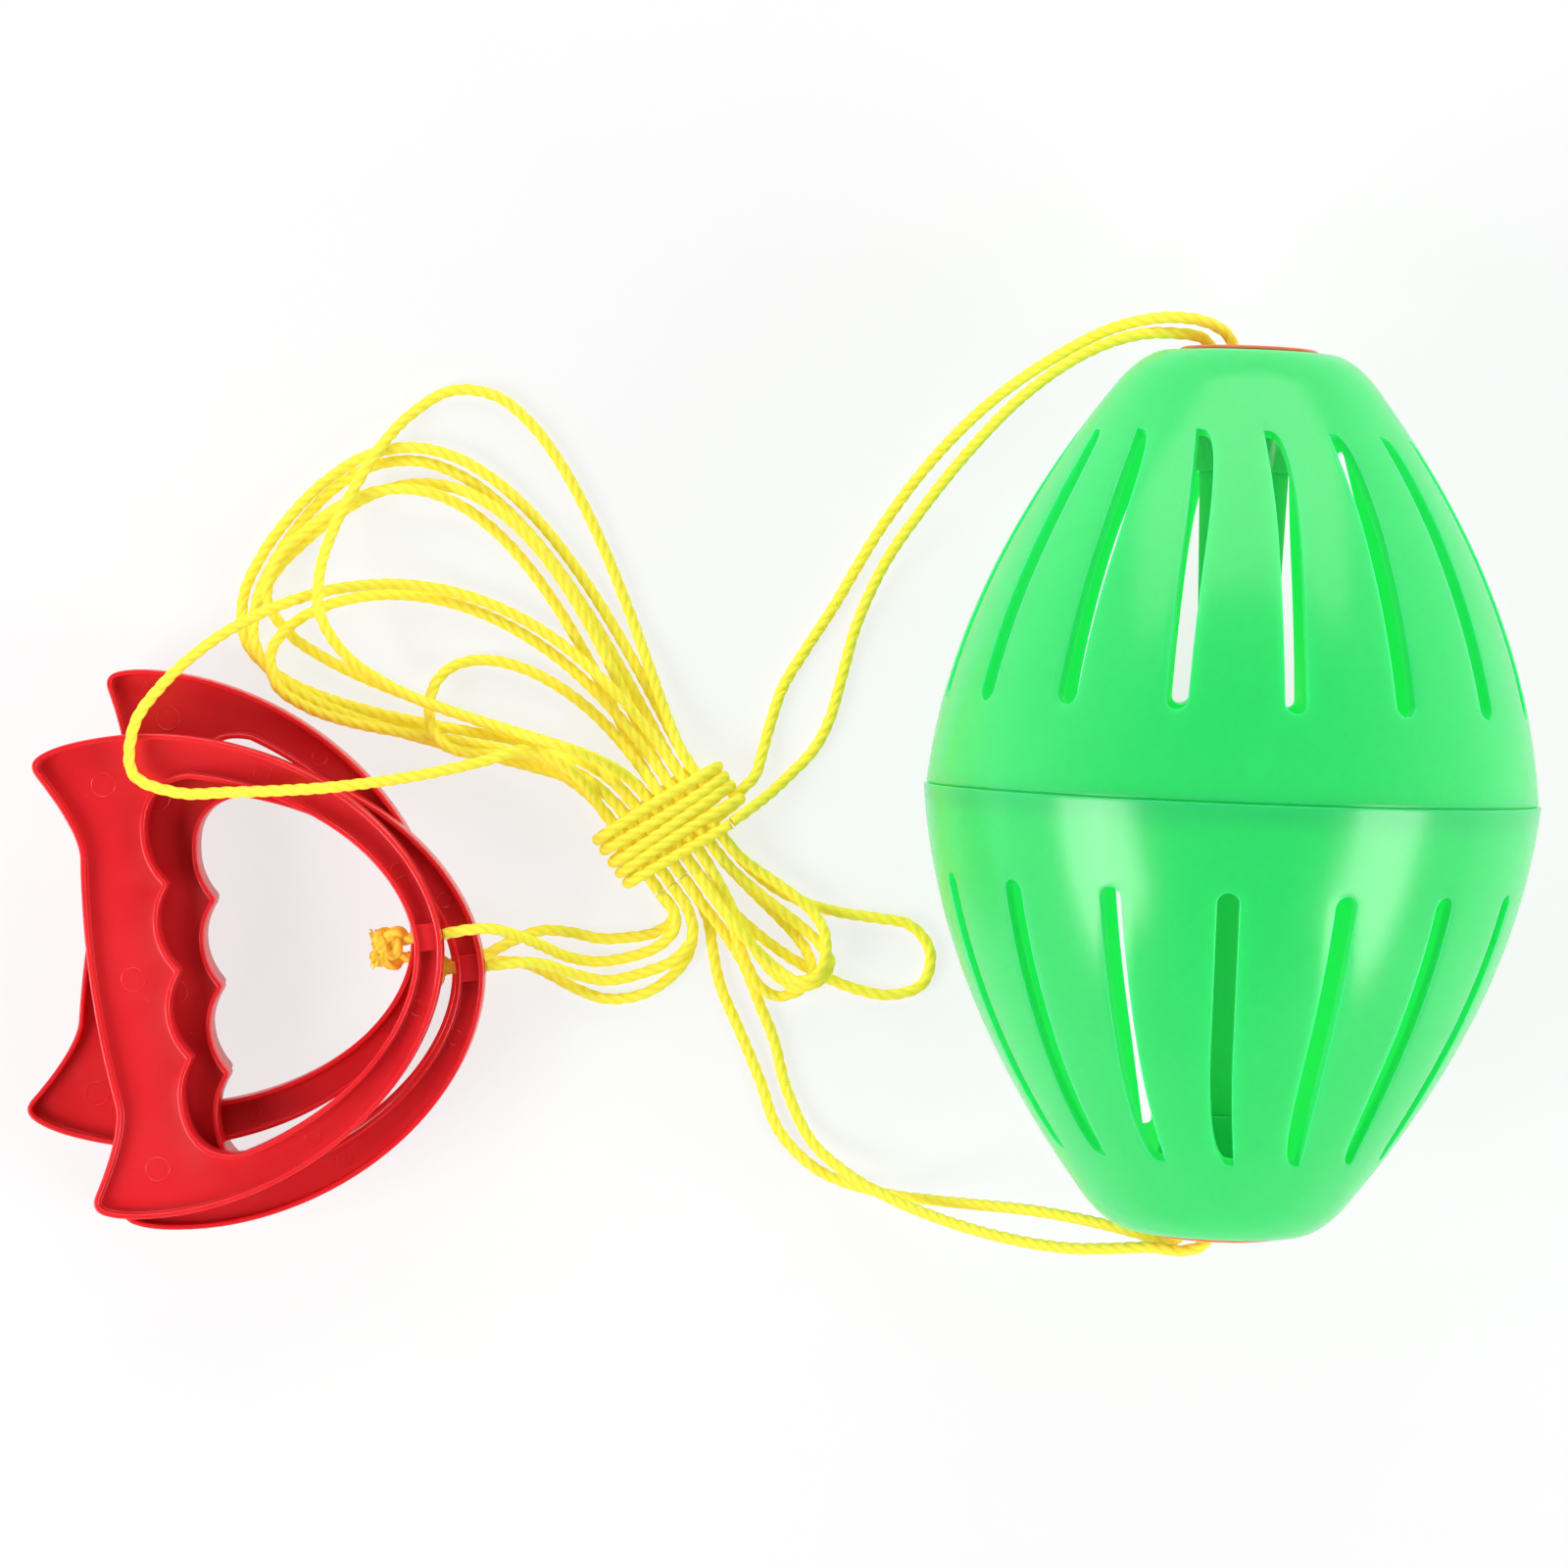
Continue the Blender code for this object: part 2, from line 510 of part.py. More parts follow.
def knot_mesh(name):
    """Rope end through the handle: the part inside the hole and a three-lobed stopper knot."""
    sides = 12
    mouth = -ARC_WIDTH - 2 * GAP
    stations = [(-GAP / 2, 1, 0), (mouth, 1, 0)]
    for i in range(1, 7):
        turn = pi * i / 7
        swell = KNOT_RADIUS * sin(turn) / ROPE_RADIUS
        stations.append((mouth - KNOT_LENGTH * (1 - cos(turn)) / 2, swell, sin(turn)))
    bm = bmesh.new()
    rings = []
    for along, swell, lobe in stations:
        ring = []
        for k in range(sides):
            turn = 2 * pi * k / sides
            bump = KNOT_LOBE_HEIGHT * lobe * cos(KNOT_LOBES * turn + along * 500)
            radius = ROPE_RADIUS * swell + bump
            ring.append(bm.verts.new((along, radius * cos(turn), radius * sin(turn))))
        rings.append(ring)
    for ring, following in zip(rings, rings[1:]):
        for k in range(sides):
            j = (k + 1) % sides
            bm.faces.new((ring[k], ring[j], following[j], following[k]))
    bm.faces.new(rings[0])
    tail = bm.verts.new((mouth - KNOT_LENGTH, 0, 0))
    for k in range(sides):
        bm.faces.new((rings[-1][k], rings[-1][(k + 1) % sides], tail))
    return mesh_from(name, bm)


def build_handles(red, yellow):
    base = -HANDLE_THICKNESS / 2
    boss = box_mesh("rope_boss", (HANDLE_RIM / 2 - ARC_WIDTH, -BOSS_WIDTH / 2, base + HANDLE_WEB / 2),
                    (-HANDLE_RIM / 2, BOSS_WIDTH / 2, base + BOSS_HEIGHT))
    drill = rod_mesh("rope_drill", ROPE_HOLE_RADIUS, -2 * ARC_WIDTH, ARC_WIDTH, 12)
    tray = handle_mesh("handle_tray")
    knot = knot_mesh("rope_end")
    for name, (level, place, heading) in HANDLES.items():
        height = HANDLE_THICKNESS / 2 + level * (HANDLE_THICKNESS + STACK_GAP)
        pivot = new_empty(f"{name}_pivot", (*place, height))
        pivot.rotation_euler = (0, 0, heading)
        handle = new_object(name, tray.copy(), red, pivot)
        cut(handle, new_object(f"{name}_boss", boss, red, pivot), "UNION")
        cut(handle, new_object(f"{name}_drill", drill, red, pivot))
        new_object(name.replace("handle", "knot"), knot.copy(), yellow, pivot)


# Ropes

HANDLE_REST = inset(handle_outline(), -ROPE_DIAMETER)    # a rope this near to a handle rests on it


def smooth_path(points, spacing):
    """Evenly spaced points on a smooth curve through the given points."""
    points = np.array(points, float)
    ends = np.vstack([2 * points[0] - points[1], points, 2 * points[-1] - points[-2]])
    dense = []
    for a, b, c, d in zip(ends, ends[1:], ends[2:], ends[3:]):
        for t in np.linspace(0, 1, 16, endpoint=False):
            dense.append(0.5 * (2 * b + (c - a) * t + (2 * a - 5 * b + 4 * c - d) * t ** 2
                                + (3 * b - a - 3 * c + d) * t ** 3))
    dense = np.array(dense + [points[-1]])
    along = np.concatenate([[0], np.cumsum(np.linalg.norm(np.diff(dense, axis=0), axis=1))])
    count = max(4, round(along[-1] / spacing) + 1)
    marks = np.linspace(0, along[-1], count)
    return np.column_stack([np.interp(marks, along, dense[:, k]) for k in range(3)])


def add_rope(name, path, material, resolution):
    """Round tube along the points, with closed ends."""
    curve = bpy.data.curves.new(name, "CURVE")
    curve.dimensions = "3D"
    curve.bevel_depth = ROPE_RADIUS
    curve.bevel_resolution = resolution
    curve.use_fill_caps = True
    spline = curve.splines.new("POLY")
    spline.points.add(len(path) - 1)
    for point, place in zip(spline.points, path):
        point.co = (*place, 1)
    return new_object(name, curve, material)


def layer_height(layer):
    """Rope centre of a strand in the tie; the tie's own turns pass below the lowest layer."""
    return ROPE_RADIUS + 0.15 * MM + STRAND_PITCH * (1 + layer)


def strand_end(column, side):
    """Plan point where a strand leaves the tie, on the long loops' side (-1) or the short loops' (1)."""
    offset = (column - (STRAND_COLUMNS - 1) / 2) * STRAND_PITCH
    place = TIE_CENTRE + TIE_ACROSS * offset + TIE_AXIS * WAIST_HALF_LENGTH * side
    return np.array(place[:2])


def loop_plan(loop, side, count):
    """Plan of one loop: two smooth runs that meet at its far point."""
    leaves, returns, far, heading, run_out, run_to, run_from, run_in = loop
    start, end = strand_end(leaves, side), strand_end(returns, side)
    outward = np.array(TIE_AXIS[:2]) * side
    far = np.array(far) * MM
    along = np.array((cos(radians(heading)), sin(radians(heading))))
    runs = [(start, start + outward * run_out * MM, far - along * run_to * MM, far),
            (far, far + along * run_from * MM, end + outward * run_in * MM, end)]
    plan = []
    for a, b, c, d in runs:
        for t in np.linspace(0, 1, 60, endpoint=False)[:, None]:
            place = (1 - t) ** 3 * a + 3 * t * (1 - t) ** 2 * b + 3 * t ** 2 * (1 - t) * c + t ** 3 * d
            plan.append(place.ravel())
    plan = np.array(plan + [end])
    along = np.concatenate([[0], np.cumsum(np.linalg.norm(np.diff(plan, axis=0), axis=1))])
    marks = np.linspace(0, along[-1], count + 1)
    return np.column_stack([np.interp(marks, along, plan[:, k]) for k in range(2)])


def along_runs(path):
    """The path's straight runs, sampled."""
    t = np.linspace(0, 1, RUN_STEPS, endpoint=False)[:, None]
    samples = [a + (b - a) * t for a, b in zip(path, path[1:])]
    return np.vstack(samples + [path[-1:]])


def ease_slopes(path):
    """Raise points until no run is steeper than the lay allows."""
    steps = np.linalg.norm(np.diff(path[:, :2], axis=0), axis=1) * LAY_SLOPE
    for i in range(1, len(path)):
        path[i, 2] = max(path[i, 2], path[i - 1, 2] - steps[i - 1])
    for i in range(len(path) - 2, -1, -1):
        path[i, 2] = max(path[i, 2], path[i + 1, 2] - steps[i])


def ground(x, y):
    """Height that a rope rests at: on the table, or on the handles' tops where it crosses them."""
    height = ROPE_RADIUS + 0.1 * MM
    for level, place, heading in HANDLES.values():
        dx, dy = x - place[0], y - place[1]
        u, v = dx * cos(heading) + dy * sin(heading), dy * cos(heading) - dx * sin(heading)
        if inside(HANDLE_REST, u, v):
            height = max(height, (level + 1) * (HANDLE_THICKNESS + STACK_GAP) + ROPE_RADIUS)
    return height


def lay_over(plan, height, laid):
    """Let a loop down from the tie onto the table, over whatever lies there already."""
    samples = along_runs(plan)
    least = np.array([ground(x, y) for x, y in samples])
    for k, sample in enumerate(samples):
        aside = np.hypot(laid[:, 0] - sample[0], laid[:, 1] - sample[1])
        near = aside < ROPE_CLEARANCE
        if near.any():
            least[k] = max(least[k], (laid[near, 2] + np.sqrt(ROPE_CLEARANCE ** 2 - aside[near] ** 2)).max())
        if np.linalg.norm(plan[[0, -1]] - sample, axis=1).min() < TIE_MOUTH:
            least[k] = 0
    path = np.column_stack([plan, least[::RUN_STEPS]])
    for _ in range(80):
        path[[0, -1], 2] = height
        ease_slopes(path)
        path[[0, -1], 2] = height
        short = least - along_runs(path)[:, 2]
        lift = np.zeros(len(path))
        for k in np.flatnonzero(short > 0):
            first = min(k // RUN_STEPS, len(path) - 2)
            lift[first:first + 2] = np.maximum(lift[first:first + 2], short[k])
        lift[[0, -1]] = 0
        if lift.max() < 0.02 * MM:
            break
        path[:, 2] += lift
    return path


def strand(column, layer):
    """Straight run of a strand through the tie, from the short loops' side to the long loops'."""
    return np.array([(*strand_end(column, side), layer_height(layer)) for side in (1, -1)])


def self_gap(path):
    """Least gap between runs of one tube that are far apart along it."""
    samples = along_runs(path)
    skip = 2 * RUN_STEPS
    least = min(np.linalg.norm(samples[i + skip:] - samples[i], axis=1).min()
                for i in range(len(samples) - skip))
    return least - ROPE_DIAMETER


def build_hank(yellow, free_paths):
    """Four spare lengths, each out to a long loop, back to a short one and out to a long one again."""
    layers = [(("a", "top"), ("b", "bottom")), (("a", "bottom"), ("b", "top"))]
    free = np.vstack([along_runs(path) for path in free_paths])
    laid = []
    loops = {}
    for layer, spares in enumerate(layers):
        height = layer_height(layer)
        strands = [along_runs(strand(column, layer)) for column in range(STRAND_COLUMNS)]
        under = free[free[:, 2] < height + STRAND_PITCH / 2]
        for spare in spares:
            for number in (2, 1, 0):
                loop = LONG_LOOPS[(*spare, number)] if number else SHORT_LOOPS[spare]
                plan = loop_plan(loop, -1, LOOP_POINTS) if number else loop_plan(loop, 1, SHORT_LOOP_POINTS)
                others = [run for column, run in enumerate(strands) if column not in loop[:2]]
                loops[spare, number] = lay_over(plan, height, np.vstack(laid + others + [under]))
                laid.append(along_runs(loops[spare, number]))
        laid += strands
        for rope, end in spares:
            first, short, second = (loops[(rope, end), number] for number in (1, 0, 2))
            first = first[::-1] if end == "bottom" else first
            entry = LONG_LOOPS[rope, end, 1][1 if end == "bottom" else 0]
            leave = LONG_LOOPS[rope, end, 2][1]
            path = np.vstack([strand(entry, layer)[:1], first, short, second, strand(leave, layer)[:1]])
            print(f"hank_{rope}_{end}: least gap to itself {self_gap(path) / MM:.2f} mm")
            add_rope(f"hank_{rope}_{end}", path, yellow, 1)


def build_tie(yellow):
    """Turns of rope round the strands: flat runs above and below, round ends."""
    straight = STRAND_PITCH * (STRAND_COLUMNS - 1)
    middle = (layer_height(0) + layer_height(1)) / 2
    radius = layer_height(1) + STRAND_PITCH - middle
    lap = 2 * straight + 2 * pi * radius
    count = TIE_TURNS * TIE_TURN_POINTS
    path = []
    for i in range(count + 1):
        travelled = i / count * (TIE_TURNS * lap - pi * radius)
        side = 1 if travelled % lap < lap / 2 else -1
        run = travelled % (lap / 2)
        turn = max(0, run - straight) / radius
        across = side * (straight / 2 - min(run, straight) - radius * sin(turn))
        lift = -side * radius * cos(turn)
        axial = STRAND_PITCH * (travelled / lap - TIE_TURNS / 2)
        place = TIE_CENTRE + TIE_ACROSS * across + TIE_AXIS * axial
        path.append((place.x, place.y, middle + lift))
    path = np.array(path)
    print(f"hank_tie: least gap to itself {self_gap(path) / MM:.2f} mm")
    add_rope("hank_tie", path, yellow, 1)


def build_free_ropes(yellow):
    """The stretches outside the hank, in the order that they were laid."""
    routes = {}
    for rope in "ab":
        routes[f"top_stretch_{rope}"] = TOP_STRETCHES[rope]
        routes[f"bottom_stretch_{rope}"] = BOTTOM_STRETCHES[rope]
        routes[f"inner_rope_{rope}"] = INNER_ROPES[rope]
    paths = {}
    for name, points in routes.items():
        spacing = INNER_POINT_SPACING if name.startswith("inner") else ROPE_POINT_SPACING
        paths[name] = smooth_path(np.array(points) * MM, spacing)
    for name, (level, place, heading) in HANDLES.items():
        height = HANDLE_THICKNESS / 2 + level * (HANDLE_THICKNESS + STACK_GAP)
        start = np.array((place[0] + GAP * cos(heading), place[1] + GAP * sin(heading), height))
        route = np.vstack([start, np.array(LEADS[name]) * MM])
        paths[name.replace("handle", "lead")] = smooth_path(route, ROPE_POINT_SPACING)
    for name, path in paths.items():
        add_rope(name, path, yellow, 2)
    return list(paths.values())


def main():
    clear_scene()
    green = plastic("green_plastic", GREEN, 0.3)
    orange = plastic("orange_plastic", ORANGE, 0.35)
    red = plastic("red_plastic", RED, 0.3)
    yellow = plastic("yellow_rope", YELLOW, 0.6)
    build_ball(green, orange)
    build_handles(red, yellow)
    free_paths = build_free_ropes(yellow)
    build_hank(yellow, free_paths)
    build_tie(yellow)


main()
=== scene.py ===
from math import atan, cos, pi, radians, sin

import bmesh
import bpy
import numpy as np
from bpy.props import FloatProperty, FloatVectorProperty, IntProperty, PointerProperty
from bpy.types import Operator, Panel, PropertyGroup
from mathutils import Euler, Matrix, Vector


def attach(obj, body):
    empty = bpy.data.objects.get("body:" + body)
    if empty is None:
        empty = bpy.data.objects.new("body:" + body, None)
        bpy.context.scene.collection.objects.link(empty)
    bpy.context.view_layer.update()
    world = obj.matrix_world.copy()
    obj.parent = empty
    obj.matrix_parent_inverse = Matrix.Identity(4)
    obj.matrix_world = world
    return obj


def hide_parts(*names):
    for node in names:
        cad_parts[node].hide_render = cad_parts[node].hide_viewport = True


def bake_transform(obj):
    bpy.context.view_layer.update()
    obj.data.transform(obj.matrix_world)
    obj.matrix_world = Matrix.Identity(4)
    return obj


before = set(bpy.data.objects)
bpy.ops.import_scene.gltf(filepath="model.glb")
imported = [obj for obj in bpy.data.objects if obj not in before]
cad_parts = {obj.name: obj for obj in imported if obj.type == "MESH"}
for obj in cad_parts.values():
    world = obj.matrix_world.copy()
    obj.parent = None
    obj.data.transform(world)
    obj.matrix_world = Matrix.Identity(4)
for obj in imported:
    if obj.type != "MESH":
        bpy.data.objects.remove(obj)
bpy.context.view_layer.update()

bl_info = {
    "name": "Tug ball dresser",
    "version": (1, 0, 0),
    "blender": (4, 5, 0),
    "location": "View3D > Sidebar > Tug ball",
    "description": "Dresses the tug ball with moulded shells, handles and laid rope, and sets the studio",
    "category": "Object",
}

MM = 0.001

# Ball
BALL_CENTRE = Vector((105.2, 8.4, 70.2)) * MM
BALL_RADIUS = 70.2 * MM
RIM_STEP = 0.6 * MM
BALL_HALF_LENGTH = 100.0 * MM
RIM_SLOPE = 0.087
WALL_CURVE = 3.70
END_CORNER = 9.0 * MM
END_KNEE = 0.75
END_RISE = 0.8
END_ROUND = 1.15
END_STEPS = 10
END_FACE_ROWS = (0.35, 0.7, 1)
SHELL_WALL = 2.6 * MM
SPIGOT_DEPTH = 4.0 * MM
SPIGOT_WALL = 1.2 * MM
SLOT_COUNT = 16
SLOT_WIDTH = 5.0 * MM
SLOT_START = 19.5 * MM
SLOT_END = 81.2 * MM
SLOT_TIP_LENGTH = 26.0 * MM
SLOT_TIP_FULLNESS = 0.6
SLOT_LEAN = 1.3 * MM
SLOT_ROUND_STEPS = 8
SLOT_STRAIGHT_STEPS = 10
SLOT_TIP_STEPS = 16
SLOT_SIDE_COLUMNS = 4
ROWS_BELOW_SLOT = (0.05, 0.15, 0.3, 0.5, 0.7, 0.88)
ROWS_ABOVE_SLOT = (0.3, 0.65)
# Past a slot's tip the grid's two middle columns part over so many rows, each by one in so many of the pitch
WHOLE_WALL_ROWS = 4
WHOLE_WALL_SPREAD = 22
WELD = 0.02 * MM
SEAM_LIP_SHARE = 0.4
LOWER_SLOT_TURN = radians(-5.0)
SEAM_GAP = 0.5 * MM
TUBE_MIDDLE_RADIUS = 8.0 * MM
TUBE_DRAFT = 0.029
TUBE_WALL = 1.5 * MM
TUBE_TOP = 83.0 * MM
NOSE_LENGTH = 4.0 * MM
NOSE_WALL = 1.2 * MM
COLLAR_WALL = 1.2 * MM
COLLAR_BOTTOM = 73.0 * MM
RING_FLANGE_RADIUS = 15.8 * MM
RING_FLANGE_PROUD = 0.9 * MM
RING_MOUTH_RADIUS = 13.0 * MM
RING_BARREL_WALL = 1.4 * MM
RING_BARREL_BOTTOM = 84.0 * MM
RING_FLARE = 2.0 * MM
COLLAR_SEGMENTS = 96
SPIGOT_SEGMENTS = 128
TUBE_SEGMENTS = 64
RING_SEGMENTS = 96
TUBE_EDGE = 0.25 * MM
RING_EDGE = 0.3 * MM
GAP = 0.3 * MM
# Share of the painted glow, in place of light that comes through the wall, on the collars, spigot and tubes
TUBE_PAINTED_GLOW = 0.3

# Handles
HANDLE_THICKNESS = 9.0 * MM
HANDLE_WEB = 5.5 * MM
HANDLE_RIM = 1.2 * MM
HANDLE_REACH = 71.5 * MM
HANDLE_HALF_SPAN = 57.2 * MM
ARC_POWER = 1.87
ARC_WIDTH = 6.6 * MM
ARC_ROOT_WIDTH = 10.2 * MM
HOLE_ARC_TURN = 1.27
ARC_STEPS = 20
GRIP_LINE = 62.0 * MM
GRIP_WIDTH = 21.6 * MM
SCALLOP_COUNT = 4
SCALLOP_PITCH = 20.8 * MM
SCALLOP_DEPTH = 3.9 * MM
SCALLOP_STEPS = 5
HORN_LENGTH = 6.8 * MM
HORN_HALF_SPAN = 52.0 * MM
HORN_ROUND = 3.2 * MM
HORN_ROOT = 36.5 * MM
NECK_DEPTH = 2.1 * MM
ROPE_HOLE_RADIUS = 2.1 * MM
BOSS_WIDTH = 6.4 * MM
BOSS_HEIGHT = 7.6 * MM
STACK_GAP = 0.4 * MM
OUTLINE_DETAIL = 4
CORNER_STEPS = 4
TIP_COSINE = 0.94
RIM_ROUND_STEPS = 3
ROPE_HOLE_SIDES = 48
FLAT_WITHIN = 0.01 * MM
PIN_RING = 0.2 * MM
PIN_SINK = 0.07 * MM
# Each handle's level in the stack, the place of its rope hole and its heading
HANDLES = {
    "handle_1": (3, (-76.4 * MM, -33.4 * MM), radians(10.0)),
    "handle_2": (1, (-78.6 * MM, -41.8 * MM), radians(-8.6)),
    "handle_3": (2, (-66.7 * MM, -41.2 * MM), radians(6.5)),
    "handle_4": (0, (-68.9 * MM, -41.7 * MM), radians(6.5)),
}
# Places and radii of the moulding's ejector marks on the web, in millimetres from the rope hole
PIN_MARKS = [(-74.5, 46, 2.8), (-74.5, -46, 2.8), (-74, -0.6, 2.8), (-37, 43.5, 1.8), (-37, -43.5, 1.8),
             (-8.2, 16.5, 1.8), (-8.2, -16.5, 1.8)]

# Rope and hank
ROPE_DIAMETER = 2.8 * MM
ROPE_RADIUS = ROPE_DIAMETER / 2
ROPE_SIDES = 18
STRAND_CORE = 0.78
STRAND_BULGE = 0.24
STRAND_ROUND = 0.75
RING_STEP = 0.75 * MM
CURVE_STEPS = 24
FREE_SPACING = 7 * MM
INNER_SPACING = 18 * MM
PART_CURVE_STEPS = 16
TIE_CENTRE = np.array((-23.8, -6.0)) * MM
TIE_AXIS = np.array((0.6, -0.8))
TIE_ACROSS = np.array((0.8, 0.6))
STRAND_PITCH = 3.4 * MM
STRAND_COLUMNS = 8
WAIST_HALF_LENGTH = 12.0 * MM
TIE_TURNS = 5
TIE_TURN_POINTS = 20
ROPE_CLEARANCE = 3.35 * MM
TIE_MOUTH = 4.5 * MM
LAY_SLOPE = 0.45
LOOP_POINTS = 24
SHORT_LOOP_POINTS = 16
LOOP_PLAN_STEPS = 60
RUN_STEPS = 8
LAY_PASSES = 80
LAY_WITHIN = 0.02 * MM
LAYER_REST = 0.15 * MM
TABLE_REST = 0.1 * MM
# Strands that a loop leaves and returns to, its far point, the heading there in degrees, and how far
# it runs out, up to the far point, on from it and in; lengths and routes are in millimetres
LONG_LOOPS = {
    ("a", "top", 1): (7, 3, (-116, 68), 229, 16, 66, 84, 24),
    ("a", "top", 2): (6, 0, (-120, 58), 238, 16, 76, 64, 32),
    ("b", "bottom", 1): (4, 2, (-113, 63), 221, 16, 56, 58, 24),
    ("b", "bottom", 2): (5, 1, (-116, 58), 226, 16, 72, 66, 17),
    ("b", "top", 1): (7, 3, (-105, 68), 245, 16, 95, 63, 24),
    ("b", "top", 2): (6, 0, (-139, -2), 2, 122, 45, 95, 37),
    ("a", "bottom", 1): (4, 2, (-83, 18), 278, 42, 20, 20, 25),
    ("a", "bottom", 2): (5, 1, (-120, 24), 308, 83, 21, 20, 23),
}
SHORT_LOOPS = {
    ("a", "top"): (3, 6, (40, -34), 102, 34, 24, 13, 31),
    ("b", "bottom"): (4, 5, (8, -46), 31, 14, 15, 15, 16),
    ("b", "top"): (3, 6, (14, -39), 70, 24, 12, 16, 12),
    ("a", "bottom"): (4, 5, (13, -43), 31, 14, 14, 14, 16),
}
# Routes of the two ropes: from the tie to the ball, through it, and from the handles to the tie
TOP_STRETCHES = {
    "a": [(-10, 0.6, 6.6), (-6.6, 3.2, 6.5), (-3.9, 6.4, 5.2), (-2.6, 11, 3.6), (-1, 18, 1.8), (2, 28, 1.6),
          (7, 37, 1.6), (13, 47, 2), (24, 67, 6), (35, 83, 15), (48, 97, 30), (63, 108, 47),
          (76, 114.5, 59), (87, 116.5, 65.5), (95.5, 115.6, 67.6), (100.6, 112.6, 67.8),
          (102.2, 107.6, 67.4), (103.2, 97.7, 67.2)],
    "b": [(-9.0, -4.9, 11.75), (-5, -1.9, 10), (0, 2.2, 5), (4.4, 6.6, 2.2), (10, 13, 1.6), (13.4, 20, 1.6),
          (16.4, 32, 1.7), (19, 43, 3), (25, 58, 7.5), (33, 71, 16), (44, 86, 31), (56, 99, 47),
          (69, 108.3, 58), (80, 112.4, 62.8), (89, 113, 64.2), (95.2, 112, 64.6), (98, 108, 64.5),
          (99.4, 97.7, 64.6)],
}
BOTTOM_STRETCHES = {
    "b": [(-20.4, -19.0, 4.95), (-16.6, -24.2, 3.8), (-14, -30, 2), (-12.6, -37, 1.6), (-10.6, -45, 1.6),
          (-5, -57, 1.6), (0, -68, 1.6), (5, -80, 1.6), (15, -89.4, 1.7), (31, -94, 5), (44, -94.4, 13),
          (67, -93.6, 33), (83, -94.6, 47), (91, -95.8, 53), (96.2, -96.4, 58.2), (98.6, -94.4, 61.2),
          (99.2, -91, 62.2), (100.6, -81, 63.8)],
    "a": [(-20.4, -19.0, 8.35), (-16.4, -24.3, 7.8), (-11, -31, 4.6), (-5, -40, 1.8), (-1, -49, 1.6),
          (3, -58, 1.6), (6.6, -70, 1.7), (13, -82, 3.6), (21, -88.6, 7.4), (31, -93.6, 12.6),
          (44, -97.4, 23), (60, -99.6, 39), (74, -99.8, 51), (84, -98.6, 57.4), (92, -97.6, 60.8),
          (99.5, -97.8, 63), (104, -96, 63.4), (105.6, -91.5, 63.4), (106.2, -81, 64.8)],
}
INNER_ROPES = {
    "a": [(103.2, 97.3, 67.2), (105.4, 80, 67.2), (107, 55, 67.4), (107, 8.4, 67.6), (107, -40, 67.4),
          (106.6, -70, 66.2), (106.2, -80.6, 64.9)],
    "b": [(99.46, 97.3, 64.6), (100.8, 88, 65.3), (102.9, 65, 66.8), (103.4, 40, 67.4), (103.4, 8.4, 67.6),
          (103.3, -40, 67.1), (102, -69, 65.3), (100.66, -80.6, 63.9)],
}
LEADS = {
    "handle_1": [(-71.4, -32.3, 32.2), (-66, -31.9, 28.4), (-60, -33.6, 20), (-54, -36.5, 11.4),
                 (-48, -39.4, 5.4), (-41, -40.6, 2.4), (-33, -39.2, 2.4), (-26, -36.2, 4.2),
                 (-22, -31.5, 6.8), (-22.2, -27.9, 8.1), (-25.9, -23.1, 8.35)],
    "handle_3": [(-62, -40.6, 22.2), (-57, -40.4, 17.4), (-52, -41.4, 10.8), (-46, -43.6, 5.8),
                 (-38, -45, 3.2), (-29, -42.7, 3), (-21.5, -39, 4.4), (-17.6, -33, 6), (-19.2, -26.4, 8),
                 (-23.2, -21, 8.35)],
    "handle_2": [(-73, -42.3, 13.9), (-66, -38.6, 12.4), (-60, -35.4, 8), (-54, -33.4, 4),
                 (-47, -33.8, 1.7), (-40, -35, 1.6), (-33, -34.4, 1.6), (-27.4, -33.2, 1.7),
                 (-23.4, -30.6, 2.5), (-22.4, -27.6, 4), (-25.9, -23.1, 4.95)],
    "handle_4": [(-64, -41.3, 3.8), (-58, -41.8, 1.9), (-52, -44.2, 1.6), (-46, -47.2, 1.6),
                 (-38, -49.6, 1.6), (-29, -48, 1.6), (-22, -43, 1.6), (-18.4, -37.5, 1.6),
                 (-17.8, -31.5, 2.4), (-19.4, -26.2, 4.1), (-23.2, -21, 4.95)],
}

# Knots, in millimetres, and the fibres of the frayed ends
KNOT_SIZE = 1.08
KNOT_DEPTH = 1.35
KNOT_BACK = 5.6
KNOT_POINTS = 22
KNOT_START = 0.55
KNOT_STOP = 0.5
KNOT_STEP = 0.6 * MM
KNOT_ROPE_SHARE = 0.96
FRAY_SPREAD = 0.32
FRAY_FLATTEN = (1, 1, 0.5)
FRAY_REACH = (1.2, 2.6)
FRAY_ROOT = 0.8 * MM
FRAY_SCATTER = 0.45
FRAY_BEND = 0.22
FRAY_RADIUS = 0.32 * MM
FRAY_LOWEST = 0.4 * MM
FRAY_POINTS = 7

# Finishes
SHARP_ANGLE = radians(50)
SMOOTH_ANGLE = radians(40)
HANDLE_SMOOTH_ANGLE = radians(32)
FLOW_SCALE = 28
HAZE_SCALE = 160
HAZE_SPREAD = 0.14
SKIN_SCALE = 420
PALE_SHARE = 0.25
FIBRE_STRETCH = (46, 60, 1)
TONE_STRETCH = (3, 14, 1)
# Painted shade in the rope: how far the groove, and the yarn's own fibre and tone streaks, pull the yarn to
# its shaded colour
GROOVE_SHADE = 0.65
FIBRE_SHADE = 0.35
TONE_SHADE = 0.25
SHADE_START = 0.25
# Strength of a painted glow that brightens all the yarn
YARN_GLOW = 0.17
# Lit and shaded colours of the yarn; the shaded ones give the painted shade in the grooves
YARN_SHADED = (0.95, 0.70, 0.010)
KNOT_YARN = (1.0, 0.62, 0.06)
KNOT_YARN_SHADED = (0.97, 0.44, 0.012)

